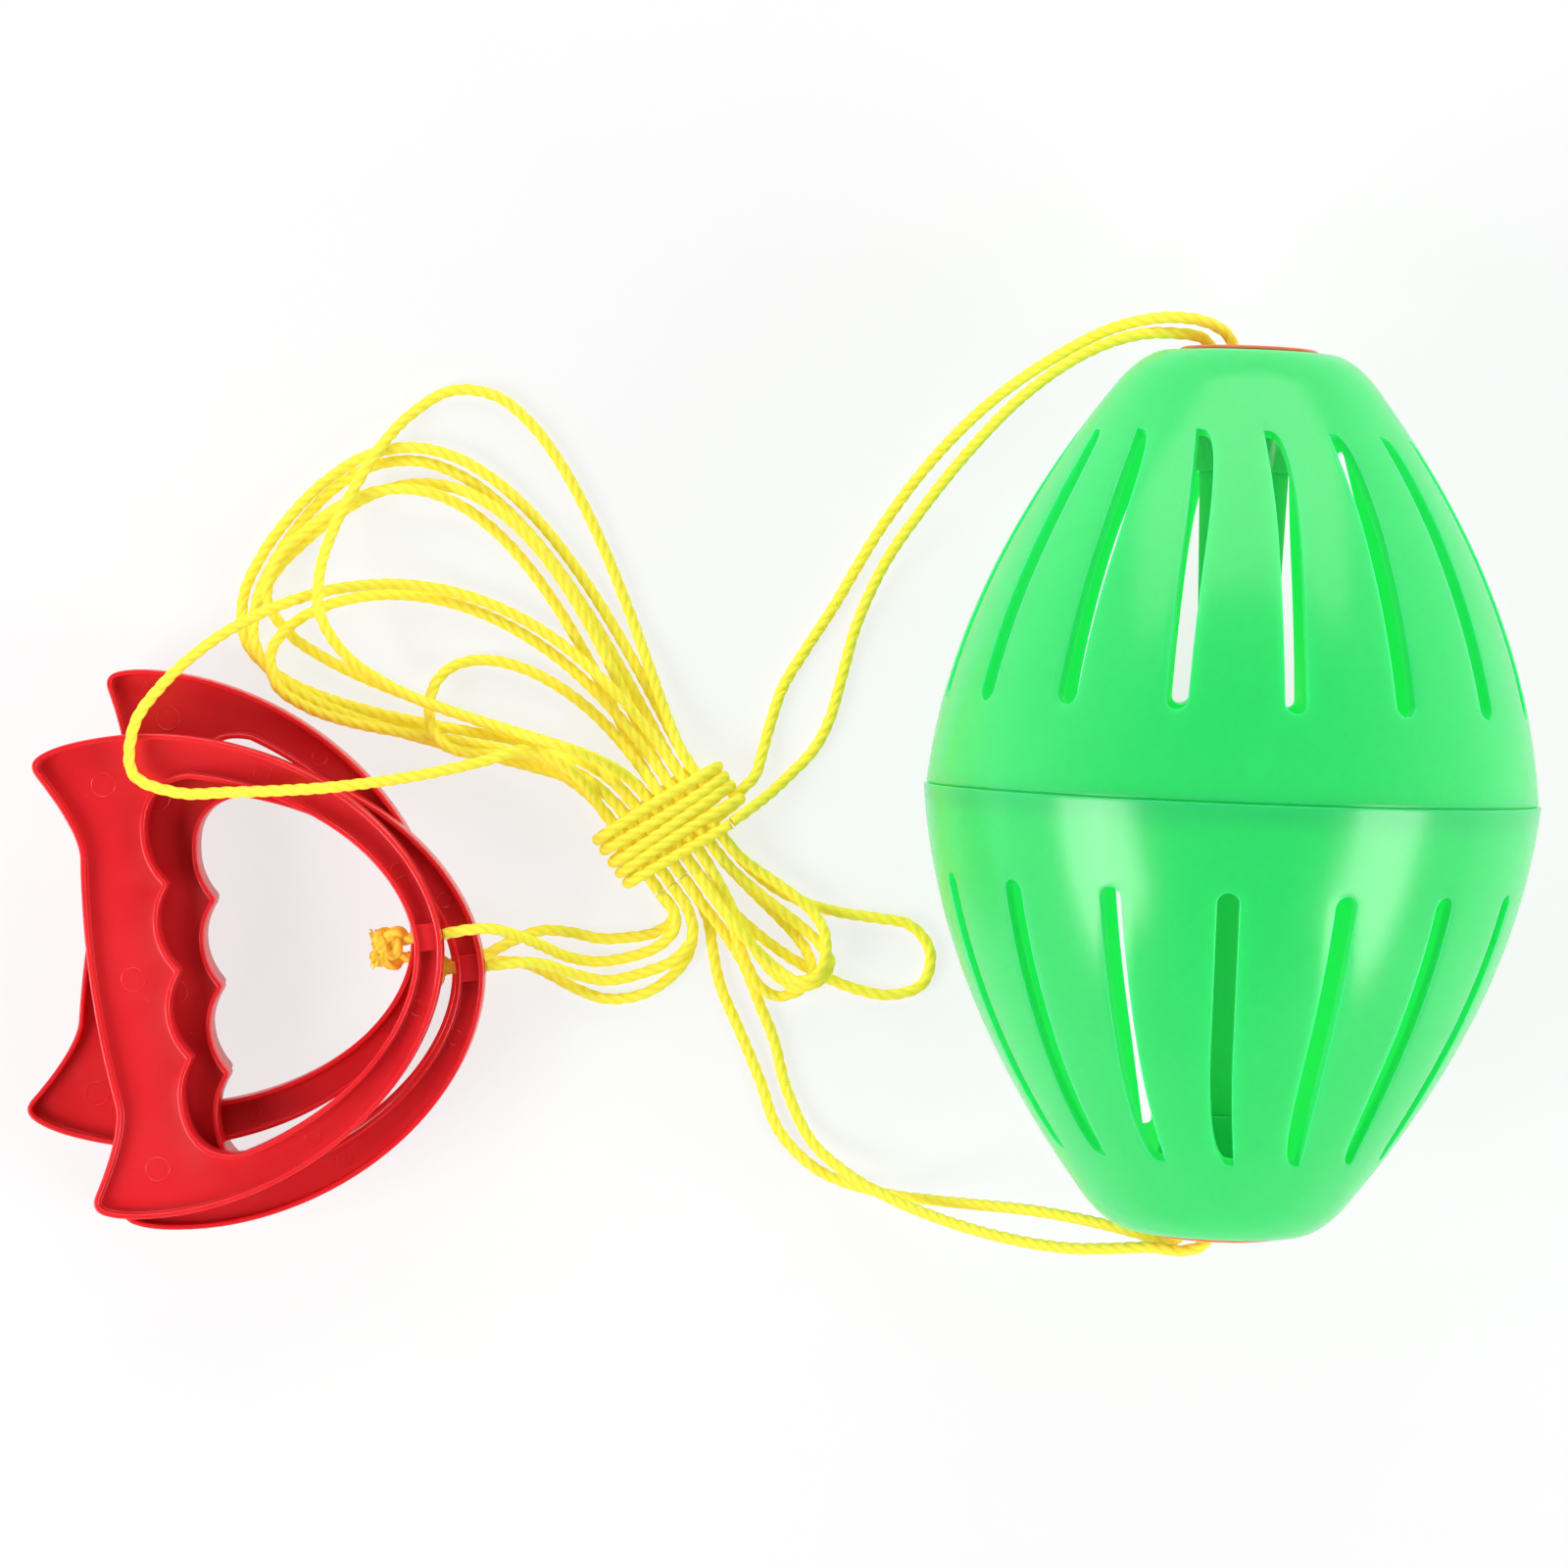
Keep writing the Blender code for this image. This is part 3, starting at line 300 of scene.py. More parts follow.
# Stage: the lights' places, aims and sizes, and the camera
LEFT_BOX = ((-0.70, -0.35, 0.65), (0.05, 0, 0.06), (0.55, 0.5))
RIGHT_BOX = ((0.90, -0.34, 0.67), (0.08, 0, 0.06), (0.65, 0.5))
BACK_PANEL = ((0.05, 0.95, 0.5), (0.05, 0, 0.05), (1.6, 0.7))
FLOOR_SIZE = 8
FLOOR_DROP = 0.4 * MM
WHITE = (1, 1, 1)
CAMERA_EYE = Vector((3.1, 41.4, 1150)) * MM
CAMERA_AIM = Vector((3.1, 5.4, 35)) * MM
CAMERA_ROLL = radians(2.2)
SENSOR_WIDTH = 36
FOCAL_PIXELS = 4824
FRAME_PIXELS = 1600


# Settings

class ShellSettings(PropertyGroup):
    green: FloatVectorProperty(name="Green", description="Colour of the ball's shells and tubes",
                               subtype="COLOR", size=3, min=0, max=1, default=(0.024, 0.69, 0.165))
    orange: FloatVectorProperty(name="Orange", description="Colour of the end rings", subtype="COLOR",
                                size=3, min=0, max=1, default=(0.87, 0.17, 0.03))
    lip: FloatProperty(name="Lip", description="Rounding of the slot and rim edges", unit="LENGTH",
                       default=0.7 * MM, min=0, max=1.2 * MM)


class HandleSettings(PropertyGroup):
    red: FloatVectorProperty(name="Red", description="Colour of the pull handles", subtype="COLOR",
                             size=3, min=0, max=1, default=(0.81, 0.004, 0.014))
    edge: FloatProperty(name="Edge", description="Rounding of the handle's edges", unit="LENGTH",
                        default=0.35 * MM, min=0.1 * MM, max=0.55 * MM)


class RopeSettings(PropertyGroup):
    yellow: FloatVectorProperty(name="Yellow", description="Colour of the rope's lit yarn", subtype="COLOR",
                                size=3, min=0, max=1, default=(0.98, 0.86, 0.08))
    lay: FloatProperty(name="Lay", description="Length of one full turn of a strand", unit="LENGTH",
                       default=10.5 * MM, min=4 * MM, max=30 * MM)
    fray: IntProperty(name="Fray", description="Loose fibres at each rope end", default=26, min=0, max=80)


class StageSettings(PropertyGroup):
    boxes: FloatProperty(name="Boxes", description="Power of each soft box beside the table", unit="POWER",
                         default=7.0, min=0, max=50)
    panel: FloatProperty(name="Panel", description="Power of the white panel behind the table", unit="POWER",
                         default=8.5, min=0, max=50)


# Shader maths

def connect(tree, slot, value):
    """Link a wire to a node's socket, or set the socket's own value."""
    if isinstance(value, Wire):
        tree.links.new(value.socket, slot)
    else:
        slot.default_value = value


class Wire:
    """A socket that does sums: each operator adds a Math node."""

    def __init__(self, tree, socket):
        self.tree, self.socket = tree, socket

    def sum(self, operation, first, second):
        node = self.tree.nodes.new("ShaderNodeMath")
        node.operation = operation
        for slot, value in zip(node.inputs, (first, second)):
            connect(self.tree, slot, value)
        return Wire(self.tree, node.outputs[0])

    def __add__(self, other):
        return self.sum("ADD", self, other)

    def __sub__(self, other):
        return self.sum("SUBTRACT", self, other)

    def __rsub__(self, other):
        return self.sum("SUBTRACT", other, self)

    def __mul__(self, other):
        return self.sum("MULTIPLY", self, other)

    __radd__ = __add__
    __rmul__ = __mul__


class Finish:
    """The nodes of a material or a sky, written as expressions."""

    def __init__(self, owner, shader="Principled BSDF"):
        self.owner = owner
        owner.use_nodes = True
        # A surface that only glows faintly isn't sampled as a lamp
        if shader == "Principled BSDF":
            owner.cycles.emission_sampling = "NONE"
        self.tree = owner.node_tree
        self.shader = self.tree.nodes[shader]

    def node(self, kind, output, settings=(), **sockets):
        node = self.tree.nodes.new("ShaderNode" + kind)
        for key, value in dict(settings).items():
            setattr(node, key, value)
        for key, value in sockets.items():
            slots = [s for s in node.inputs if s.name == key.replace("_", " ") and s.enabled]
            connect(self.tree, slots[0], value)
        found = [s for s in node.outputs if s.name == output and s.enabled]
        return Wire(self.tree, found[0])

    def set(self, **sockets):
        for key, value in sockets.items():
            connect(self.tree, self.shader.inputs[key.replace("_", " ")], value)

    def noise(self, vector, scale, detail=2.0):
        return self.node("TexNoise", "Fac", Vector=vector, Scale=scale, Detail=detail)

    def mix(self, factor, first, second):
        first, second = (end if isinstance(end, Wire) else (*end, 1) for end in (first, second))
        return self.node("Mix", "Result", {"data_type": "RGBA"}, Factor=factor, A=first, B=second)

    def bump(self, height, strength, distance):
        self.set(Normal=self.node("Bump", "Normal", Height=height, Strength=strength, Distance=distance))


def moulded(name, colour, roughness, flow_depth, glow, through=0.0):
    """Injection-moulded plastic: faint flow clouds, handling haze, a fine skin, and a painted glow on the
    faces inside the ball in place of light from within.
    """
    finish = Finish(bpy.data.materials.new(name))
    place = finish.node("TexCoord", "Object")
    flow = finish.noise(place, FLOW_SCALE, 3)
    haze = finish.noise(place, HAZE_SCALE, 4)
    deep = [c * (1 - flow_depth) for c in colour]
    pale = [c + (1 - c) * flow_depth * PALE_SHARE for c in colour]
    finish.set(Base_Color=finish.mix(flow, deep, pale),
               Roughness=haze * HAZE_SPREAD + (roughness - HAZE_SPREAD / 2),
               IOR=1.48, Specular_IOR_Level=0.5, Subsurface_Weight=1, Subsurface_Scale=glow,
               Subsurface_Radius=[0.15 + c for c in colour])
    # Painted glow: the inside faces emit a share of the plastic's colour, in place of light that comes
    # through the wall
    if through:
        inner = finish.node("Attribute", "Fac", {"attribute_name": "inner"})
        lit = finish.mix(inner, (0, 0, 0), [c * through for c in colour])
        finish.set(Emission_Color=lit, Emission_Strength=1)
    finish.bump(finish.noise(place, SKIN_SCALE, 2), strength=0.05, distance=0.4 * MM)
    return finish.owner


def rope_yarn(name, lit, shaded, roughness):
    """Laid rope: fibres along each strand, painted shade in the grooves between the strands mixed from a lit
    and a shaded copy of the yarn's colour, and a painted glow all over.
    """
    finish = Finish(bpy.data.materials.new(name))
    uv = finish.node("UVMap", "UV", {"uv_map": "Strands"})
    fibre = finish.noise(finish.node("Mapping", "Vector", Vector=uv, Scale=FIBRE_STRETCH), 3.0, 3)
    tone = finish.noise(finish.node("Mapping", "Vector", Vector=uv, Scale=TONE_STRETCH), 2.0, 2)
    groove = finish.node("Attribute", "Fac", {"attribute_name": "groove"})
    # Painted shade in the grooves between strands, with the yarn's own fibre and tone streaks, mixes the lit
    # colour towards the shaded one
    depth = groove * GROOVE_SHADE + fibre * FIBRE_SHADE + tone * TONE_SHADE - SHADE_START
    # The emission set here is a painted glow that brightens the yarn
    finish.set(Base_Color=finish.mix(depth, lit, shaded), Roughness=fibre * 0.2 + roughness,
               Specular_IOR_Level=0.35,
               Subsurface_Weight=0.7, Subsurface_Scale=1.5 * MM, Subsurface_Radius=(1, 0.9, 0.25),
               Sheen_Weight=0.6, Sheen_Roughness=0.4, Sheen_Tint=(*lit, 1),
               Emission_Color=(*lit, 1), Emission_Strength=YARN_GLOW)
    finish.bump(fibre, strength=0.45, distance=0.4 * MM)
    return finish.owner


# Modelling by hand

def only(obj):
    """Leave edit mode and make one object, or nothing, the selection."""
    if bpy.context.mode != "OBJECT":
        leave_edit()
    bpy.ops.object.select_all(action="DESELECT")
    if obj:
        obj.select_set(True)
        bpy.context.view_layer.objects.active = obj


def edit(action="SELECT", kind=None):
    """Go into edit mode with everything selected, or nothing."""
    bpy.ops.object.mode_set(mode="EDIT")
    if kind:
        bpy.ops.mesh.select_mode(type=kind)
    bpy.ops.mesh.select_all(action=action)


def leave_edit():
    bpy.ops.object.mode_set(mode="OBJECT")


def add(name, data):
    """A new object in the scene."""
    obj = bpy.data.objects.new(name, data)
    bpy.context.scene.collection.objects.link(obj)
    return obj


def settle(obj, name, material, body=None, *nodes, slot=None):
    """Name a finished piece, put its place in its mesh, and fix it to what carries it."""
    only(obj)
    bpy.ops.object.transform_apply(location=True, rotation=True, scale=True)
    obj.name = obj.data.name = name
    obj.data.materials.clear()
    obj.data.materials.append(material)
    if body:
        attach(obj, body)
    if nodes:
        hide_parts(*nodes)
    return obj


def apply_modifier(obj, kind, **settings):
    only(obj)
    modifier = obj.modifiers.new(kind.title(), kind)
    for key, value in settings.items():
        setattr(modifier, key, value)
    bpy.ops.object.modifier_apply(modifier=modifier.name)


def soften(obj, width, segments=3, angle=35):
    """Round the sharp edges and shade the rest smooth."""
    apply_modifier(obj, "BEVEL", width=width, segments=segments, limit_method="ANGLE",
                   angle_limit=radians(angle), miter_outer="MITER_ARC", harden_normals=False)
    only(obj)
    bpy.ops.object.shade_smooth_by_angle(angle=SMOOTH_ANGLE)


def face_outward(obj):
    """Make the faces agree, and turn them all when the volume comes out negative."""
    only(obj)
    edit()
    bpy.ops.mesh.normals_make_consistent(inside=False)
    if bmesh.from_edit_mesh(obj.data).calc_volume(signed=True) < 0:
        bpy.ops.mesh.flip_normals()
    leave_edit()


def turned(profile, segments):
    """Turn a closed (radius, height) section about Z: a circle, drawn out ring by ring and bridged shut."""
    only(None)
    bpy.ops.mesh.primitive_circle_add(vertices=segments, radius=profile[0][0], location=(0, 0, 0))
    obj = bpy.context.object
    edit()
    bpy.ops.transform.translate(value=(0, 0, profile[0][1]))
    for (before, low), (radius, high) in zip(profile, profile[1:]):
        bpy.ops.mesh.extrude_edges_move()
        bpy.ops.transform.resize(value=(radius / before, radius / before, 1))
        bpy.ops.transform.translate(value=(0, 0, high - low))
    bpy.ops.mesh.select_all(action="DESELECT")
    bpy.ops.mesh.select_mode(type="EDGE")
    bpy.ops.mesh.select_non_manifold(extend=False, use_wire=False, use_multi_face=False,
                                     use_non_contiguous=False, use_verts=False)
    bpy.ops.mesh.bridge_edge_loops()
    leave_edit()
    face_outward(obj)
    return obj


def plate(outline, low, high):
    """A flat piece over an (x, y) outline: a filled circle set to the outline, then drawn up."""
    only(None)
    bpy.ops.mesh.primitive_circle_add(vertices=len(outline), radius=1, fill_type="NGON", location=(0, 0, 0))
    obj = bpy.context.object
    for vertex, (x, y) in zip(obj.data.vertices, outline):
        vertex.co = (x, y, low)
    edit()
    bpy.ops.mesh.extrude_region_move(TRANSFORM_OT_translate={"value": (0, 0, high - low)})
    leave_edit()
    face_outward(obj)
    return obj


def combine(obj, other, operation):
    apply_modifier(obj, "BOOLEAN", operation=operation, solver="MANIFOLD", object=other)
    bpy.data.objects.remove(other, do_unlink=True)


def join(first, *others):
    only(first)
    for other in others:
        other.select_set(True)
    bpy.ops.object.join()
    return first


def curve_points(start, pull, end, steps):
    """Points after the start on a curve to the end that is pulled towards a third point."""
    points = []
    for i in range(1, steps + 1):
        t = i / steps
        near, middle, far = (1 - t) ** 2, 2 * t * (1 - t), t ** 2
        points.append(tuple(near * a + middle * b + far * c for a, b, c in zip(start, pull, end)))
    return points


def unit(vector):
    return vector / np.linalg.norm(vector)


# Ball

def tube_radius(height):
    return TUBE_MIDDLE_RADIUS + TUBE_DRAFT * height


def wall_radius(height, rim_radius):
    return rim_radius - RIM_SLOPE * height - WALL_CURVE * height ** 2


def end_rows(rim_radius):
    """Section points from the top of the slotted wall round the corner to the end hole."""
    start = BALL_HALF_LENGTH - END_CORNER
    shoulder = wall_radius(start, rim_radius)
    lean = RIM_SLOPE + 2 * WALL_CURVE * start
    knee = (shoulder - lean * END_CORNER * END_KNEE, start + END_CORNER * END_RISE)
    flat_edge = shoulder - END_CORNER * END_ROUND
    rows = [(shoulder, start)]
    rows += curve_points((shoulder, start), knee, (flat_edge, BALL_HALF_LENGTH), END_STEPS)
    hole = RING_MOUTH_RADIUS + RING_BARREL_WALL + GAP
    return rows + [(flat_edge + (hole - flat_edge) * t, BALL_HALF_LENGTH) for t in END_FACE_ROWS]


def slot_rows():
    """Heights of the wall's rows with the slot's two edges at each, or none where the wall is whole."""
    half = SLOT_WIDTH / 2
    rows = [(SEAM_GAP / 2, None)] + [(SLOT_START * t, None) for t in ROWS_BELOW_SLOT]
    for i in range(SLOT_ROUND_STEPS + 1):
        turn = pi / 2 * i / SLOT_ROUND_STEPS
        rows.append((SLOT_START + half * (1 - cos(turn)), (-half * sin(turn), half * sin(turn))))
    straight_end = SLOT_END - SLOT_TIP_LENGTH
    for t in np.linspace(0, 1, SLOT_STRAIGHT_STEPS + 1)[1:]:
        rows.append((SLOT_START + half + (straight_end - SLOT_START - half) * t, (-half, half)))
    for turn in np.linspace(0, pi / 2, SLOT_TIP_STEPS + 1)[1:]:
        left = -half - SLOT_LEAN * sin(turn) ** 2
        right = half - (SLOT_WIDTH + SLOT_LEAN) * (1 - max(0, cos(turn)) ** SLOT_TIP_FULLNESS)
        rows.append((straight_end + SLOT_TIP_LENGTH * sin(turn), (left, max(left, right))))
    start = BALL_HALF_LENGTH - END_CORNER
    return rows + [(SLOT_END + (start - SLOT_END) * t, None) for t in ROWS_ABOVE_SLOT]


def mark_painted_glow(obj, light, skin=0):
    """Note how strongly the vertices inside the ball glow: a painted glow in place of light that comes
    through the wall.
    """
    inner = obj.data.attributes.new("inner", "FLOAT", "POINT")
    inner.data.foreach_set("value", [light * (k >= skin) for k in range(len(obj.data.vertices))])


def shell_wall(rim_radius, slot_turn):
    """Slotted wall: one sector's grid is bent to the ball, its slot opened, and copied round the axis."""
    columns = 2 * SLOT_SIDE_COLUMNS + 2
    sector = 2 * pi / SLOT_COUNT
    wall = slot_rows()
    ends = end_rows(rim_radius)
    sections = [(wall_radius(h, rim_radius), h) for h, _ in wall] + ends
    edges = [edge for _, edge in wall] + [None] * len(ends)
    only(None)
    bpy.ops.mesh.primitive_grid_add(x_subdivisions=columns - 1, y_subdivisions=len(sections) - 1, size=2,
                                    location=(0, 0, 0))
    obj = bpy.context.object
    first_open = next(i for i, edge in enumerate(edges) if edge)
    last_open = max(i for i, edge in enumerate(edges) if edge)
    tip = edges[last_open][0]
    middle_faces = []
    for index, vertex in enumerate(obj.data.vertices):
        row, column = divmod(index, columns)
        radius, height = sections[row]
        left = column < columns // 2
        share = (column if left else column - columns // 2) / SLOT_SIDE_COLUMNS
        if edges[row]:
            edge = edges[row][0 if left else 1] / radius
        else:
            below = row < first_open
            away = (first_open - row) / first_open if below else min(1, (row - last_open) / WHOLE_WALL_ROWS)
            lean = 0 if below else tip / radius * (1 - away)
            edge = lean + (-1 if left else 1) * away * sector / WHOLE_WALL_SPREAD
        angle = -sector / 2 + (edge + sector / 2) * share if left else edge + (sector / 2 - edge) * share
        vertex.co = (radius * sin(angle), -radius * cos(angle), height)
    for face in obj.data.polygons:
        rows = {v // columns for v in face.vertices}
        middle = {v % columns for v in face.vertices} == {SLOT_SIDE_COLUMNS, SLOT_SIDE_COLUMNS + 1}
        if middle and min(rows) >= first_open and max(rows) <= last_open:
            middle_faces.append(face.index)
    edit("DESELECT", "FACE")
    leave_edit()
    for index in middle_faces:
        obj.data.polygons[index].select = True
    bpy.ops.object.mode_set(mode="EDIT")
    bpy.ops.mesh.delete(type="FACE")
    bpy.ops.mesh.select_all(action="SELECT")
    bpy.ops.mesh.spin(steps=SLOT_COUNT, dupli=True, angle=2 * pi, center=(0, 0, 0), axis=(0, 0, 1))
    bpy.ops.mesh.select_all(action="SELECT")
    bpy.ops.mesh.remove_doubles(threshold=WELD)
    bpy.ops.mesh.normals_make_consistent(inside=False)
    leave_edit()
    outward = sum(p.normal.dot(Vector((p.center.x, p.center.y, 0))) for p in obj.data.polygons)
    skin = len(obj.data.vertices)
    apply_modifier(obj, "SOLIDIFY", thickness=SHELL_WALL, offset=-1 if outward > 0 else 1,
                   use_even_offset=True)
    mark_painted_glow(obj, 1, skin)
    obj.rotation_euler = (0, 0, slot_turn + pi / 2)
    only(obj)
    bpy.ops.object.transform_apply(location=False, rotation=True, scale=False)
    return obj


def round_lips(obj, lip):
    """Round the slot and end edges, and the edge at the seam a little less."""
    bm = bmesh.new()
    bm.from_mesh(obj.data)
    weight = bm.edges.layers.float.new("bevel_weight_edge")
    for edge in bm.edges:
        if edge.calc_face_angle() > SHARP_ANGLE:
            at_seam = max(abs(vert.co.z) for vert in edge.verts) < SHELL_WALL / 2
            edge[weight] = SEAM_LIP_SHARE if at_seam else 1
    bm.to_mesh(obj.data)
    bm.free()
    apply_modifier(obj, "BEVEL", width=lip, segments=3, limit_method="WEIGHT", miter_outer="MITER_ARC")
    bpy.ops.object.shade_smooth_by_angle(angle=SMOOTH_ANGLE)


def collar_profile():
    hole = RING_MOUTH_RADIUS + RING_BARREL_WALL + GAP
    inner = tube_radius(COLLAR_BOTTOM) + GAP
    top = BALL_HALF_LENGTH - SHELL_WALL
    return [(hole, top), (inner, COLLAR_BOTTOM), (inner + COLLAR_WALL, COLLAR_BOTTOM),
            (hole + COLLAR_WALL, top)]


def spigot_profile():
    outer = BALL_RADIUS - RIM_STEP - SHELL_WALL / 2
    return [(outer, SPIGOT_DEPTH), (outer, -SPIGOT_DEPTH), (outer - SPIGOT_WALL, -SPIGOT_DEPTH),
            (outer - SPIGOT_WALL, SPIGOT_DEPTH)]


def tube_profile(has_nose):
    start = GAP / 2
    outer = [(tube_radius(TUBE_TOP), TUBE_TOP), (tube_radius(start), start)]
    bore = tube_radius(start) - TUBE_WALL
    bore_top = (tube_radius(TUBE_TOP) - TUBE_WALL, TUBE_TOP)
    if not has_nose:
        return outer + [(bore, start), bore_top]
    nose = bore - GAP
    return outer + [(nose, start), (nose, -NOSE_LENGTH), (nose - NOSE_WALL, -NOSE_LENGTH),
                    (nose - NOSE_WALL, NOSE_LENGTH), bore_top]


def ring_profile():
    face = BALL_HALF_LENGTH + GAP
    top = face + RING_FLANGE_PROUD
    throat = tube_radius(TUBE_TOP) - TUBE_WALL
    soften_by = RING_FLANGE_PROUD / 2
    outer = RING_MOUTH_RADIUS + RING_BARREL_WALL
    return [(RING_MOUTH_RADIUS + soften_by, top), (RING_FLANGE_RADIUS - soften_by, top),
            (RING_FLANGE_RADIUS, top - soften_by), (RING_FLANGE_RADIUS, face), (outer, face),
            (outer, BALL_HALF_LENGTH - SHELL_WALL), (throat + RING_BARREL_WALL, RING_BARREL_BOTTOM),
            (throat, RING_BARREL_BOTTOM), (RING_MOUTH_RADIUS - soften_by, top - RING_FLARE)]


class TUGBALL_OT_ball(Operator):
    """Make the half shells, core tubes and end rings"""
    bl_idname = "tugball.ball"
    bl_label = "Ball"

    def execute(self, context):
        settings = context.scene.tugball_shell
        # through sets the painted glow inside the green pieces; the orange rings have none
        green = moulded("moulded_green", settings.green, roughness=0.23, flow_depth=0.10, glow=14 * MM,
                        through=0.3)
        tube_green = moulded("moulded_green_tube", settings.green, roughness=0.5, flow_depth=0.10,
                             glow=2 * MM, through=0.3)
        orange = moulded("moulded_orange", settings.orange, roughness=0.3, flow_depth=0.08, glow=1 * MM)
        for half in ("upper", "lower"):
            upper = half == "upper"
            side = 1 if upper else -1
            rim_radius = BALL_RADIUS - (RIM_STEP if upper else 0)
            clock = pi / SLOT_COUNT if upper else 0
            wall = shell_wall(rim_radius, side * (LOWER_SLOT_TURN + clock - pi / 2))
            round_lips(wall, settings.lip)
            parts = [turned(collar_profile(), COLLAR_SEGMENTS)]
            if not upper:
                parts.append(turned(spigot_profile(), SPIGOT_SEGMENTS))
            tube = turned(tube_profile(not upper), TUBE_SEGMENTS)
            for part in (*parts, tube):
                soften(part, TUBE_EDGE, segments=2)
                mark_painted_glow(part, TUBE_PAINTED_GLOW)
            shell = join(wall, *parts)
            ring = turned(ring_profile(), RING_SEGMENTS)
            soften(ring, RING_EDGE, angle=20)
            made = {"shell": (shell, green, "green_plastic"),
                    "core_tube": (tube, tube_green, "green_plastic"),
                    "ring": (ring, orange, "orange_plastic")}
            upright = Euler((-side * pi / 2, 0, 0)).to_matrix().to_4x4()
            for what, (obj, finish, slot) in made.items():
                obj.matrix_world = Matrix.Translation(BALL_CENTRE) @ upright
                settle(obj, f"{half}_{what}_moulding", finish, "ball", f"{half}_{what}", slot=slot)
        return {"FINISHED"}


# Handles

def arc_point(turn, reach, half_span):
    """A point of the handle's bow, from one root at -90 degrees to the other at 90."""
    power = 2 / ARC_POWER
    across = abs(sin(turn)) ** power * (1 if turn >= 0 else -1)
    return (-HANDLE_REACH + reach * abs(cos(turn)) ** power, half_span * across)


def handle_outline(detail):
    """Outer edge of a handle; the detail is how many times finer it is than the part's own."""
    steps = ARC_STEPS * detail
    arc = [arc_point(-pi / 2 + pi * i / steps, HANDLE_REACH, HANDLE_HALF_SPAN) for i in range(steps + 1)]
    back = -(GRIP_LINE + GRIP_WIDTH)
    tip = back - HORN_LENGTH
    shoulder = (tip + HORN_ROUND, HORN_HALF_SPAN + HORN_ROUND)
    heel = (tip + HORN_ROUND * 0.3, HORN_HALF_SPAN - HORN_ROUND * 0.6)
    neck = (back + NECK_DEPTH * 0.9, HORN_ROOT * 0.82)
    upper = curve_points(arc[-1], (tip + HORN_ROUND * 2.5, HANDLE_HALF_SPAN), shoulder, 2 * detail)
    point = (tip - HORN_ROUND * 0.3, HORN_HALF_SPAN + HORN_ROUND * 0.5)
    upper += curve_points(shoulder, point, heel, 3 * detail)
    upper += curve_points(heel, (back + NECK_DEPTH, HORN_ROOT), neck, 3 * detail)
    upper += curve_points(neck, (back, HORN_ROOT * 0.4), (back, 0), 2 * detail)
    return arc + upper + [(x, -y) for x, y in reversed(upper[:-1])]


def hole_outline(detail):
    """Finger hole: the arc's inner edge, a round corner, the scalloped grip and the other corner."""
    steps = ARC_STEPS * detail
    reach, half_span = HANDLE_REACH - ARC_WIDTH, HANDLE_HALF_SPAN - ARC_ROOT_WIDTH
    arc = [arc_point(HOLE_ARC_TURN * (2 * i / steps - 1), reach, half_span) for i in range(steps + 1)]
    radius = (SCALLOP_PITCH ** 2 / 4 + SCALLOP_DEPTH ** 2) / (2 * SCALLOP_DEPTH)
    sweep = atan(SCALLOP_PITCH / 2 / (radius - SCALLOP_DEPTH))
    valley = -GRIP_LINE - SCALLOP_DEPTH
    outermost = SCALLOP_PITCH * (SCALLOP_COUNT - 1) / 2
    corner = curve_points(arc[-1], (valley, arc[-1][1]), (valley, outermost), CORNER_STEPS * detail)
    steps = SCALLOP_STEPS * detail
    grip = []
    for k in range(SCALLOP_COUNT):
        middle = outermost - SCALLOP_PITCH * k
        for i in range(steps):
            turn = sweep - 2 * sweep * i / steps
            place = (valley + radius - radius * cos(turn), middle + radius * sin(turn))
            if abs(place[1]) < outermost - GAP:
                grip.append(place)
    return arc + corner + grip + [(x, -y) for x, y in reversed(corner)]


def corners(outline):
    """Each point of a closed outline with its neighbours and the directions into and out of it."""
    points = [np.array(p) for p in outline]
    for before, here, after in zip(points[-1:] + points[:-1], points, points[1:] + points[:1]):
        yield before, here, after, unit(here - before), unit(after - here)


def ease_tips(outline):
    """Blunt the points where the outline turns sharply, as between two scallops."""
    return [tuple((before + 2 * here + after) / 4 if a @ b < TIP_COSINE else here)
            for before, here, after, a, b in corners(outline)]


def inset(outline, distance):
    """Move each point of an anticlockwise outline to its left by the distance, mitred."""
    moved = []
    for _, here, _, a, b in corners(outline):
        normal_a, normal_b = np.array((-a[1], a[0])), np.array((-b[1], b[0]))
        moved.append(tuple(here + (normal_a + normal_b) / max(0.5, 1 + normal_a @ normal_b) * distance))
    return moved


def inside(outline, x, y):
    """Whether a point lies within a closed outline."""
    hit = False
    for (ax, ay), (bx, by) in zip(outline, outline[1:] + outline[:1]):
        if (ay > y) != (by > y) and x < ax + (y - ay) / (by - ay) * (bx - ax):
            hit = not hit
    return hit


def pin_mark(u, v, radius):
    """Ejector mark: a fine ring that stands a little proud of the web."""
    only(None)
    bpy.ops.mesh.primitive_torus_add(major_segments=48, minor_segments=10, major_radius=radius * MM,
                                     minor_radius=PIN_RING,
                                     location=(u * MM, v * MM, HANDLE_WEB - HANDLE_THICKNESS / 2 - PIN_SINK))
    return bpy.context.object


def drawn_wall(outline, section):
    """A wall along a closed outline: a circle set to it and drawn out through the section's points."""
    only(None)
    bpy.ops.mesh.primitive_circle_add(vertices=len(outline), radius=1, location=(0, 0, 0))
    obj = bpy.context.object
    order = obj.data.attributes.new("order", "INT", "POINT")
    order.data.foreach_set("value", list(range(len(outline))))
    edit()
    for number, (distance, height) in enumerate(section):
        if number:
            bpy.ops.mesh.extrude_edges_move()
        bm = bmesh.from_edit_mesh(obj.data)
        layer = bm.verts.layers.int["order"]
        ring = inset(outline, distance)
        for vert in bm.verts:
            if vert.select:
                vert.co = (*ring[vert[layer]], height)
        bmesh.update_edit_mesh(obj.data)
    leave_edit()
    obj.data.attributes.remove(obj.data.attributes["order"])
    return obj


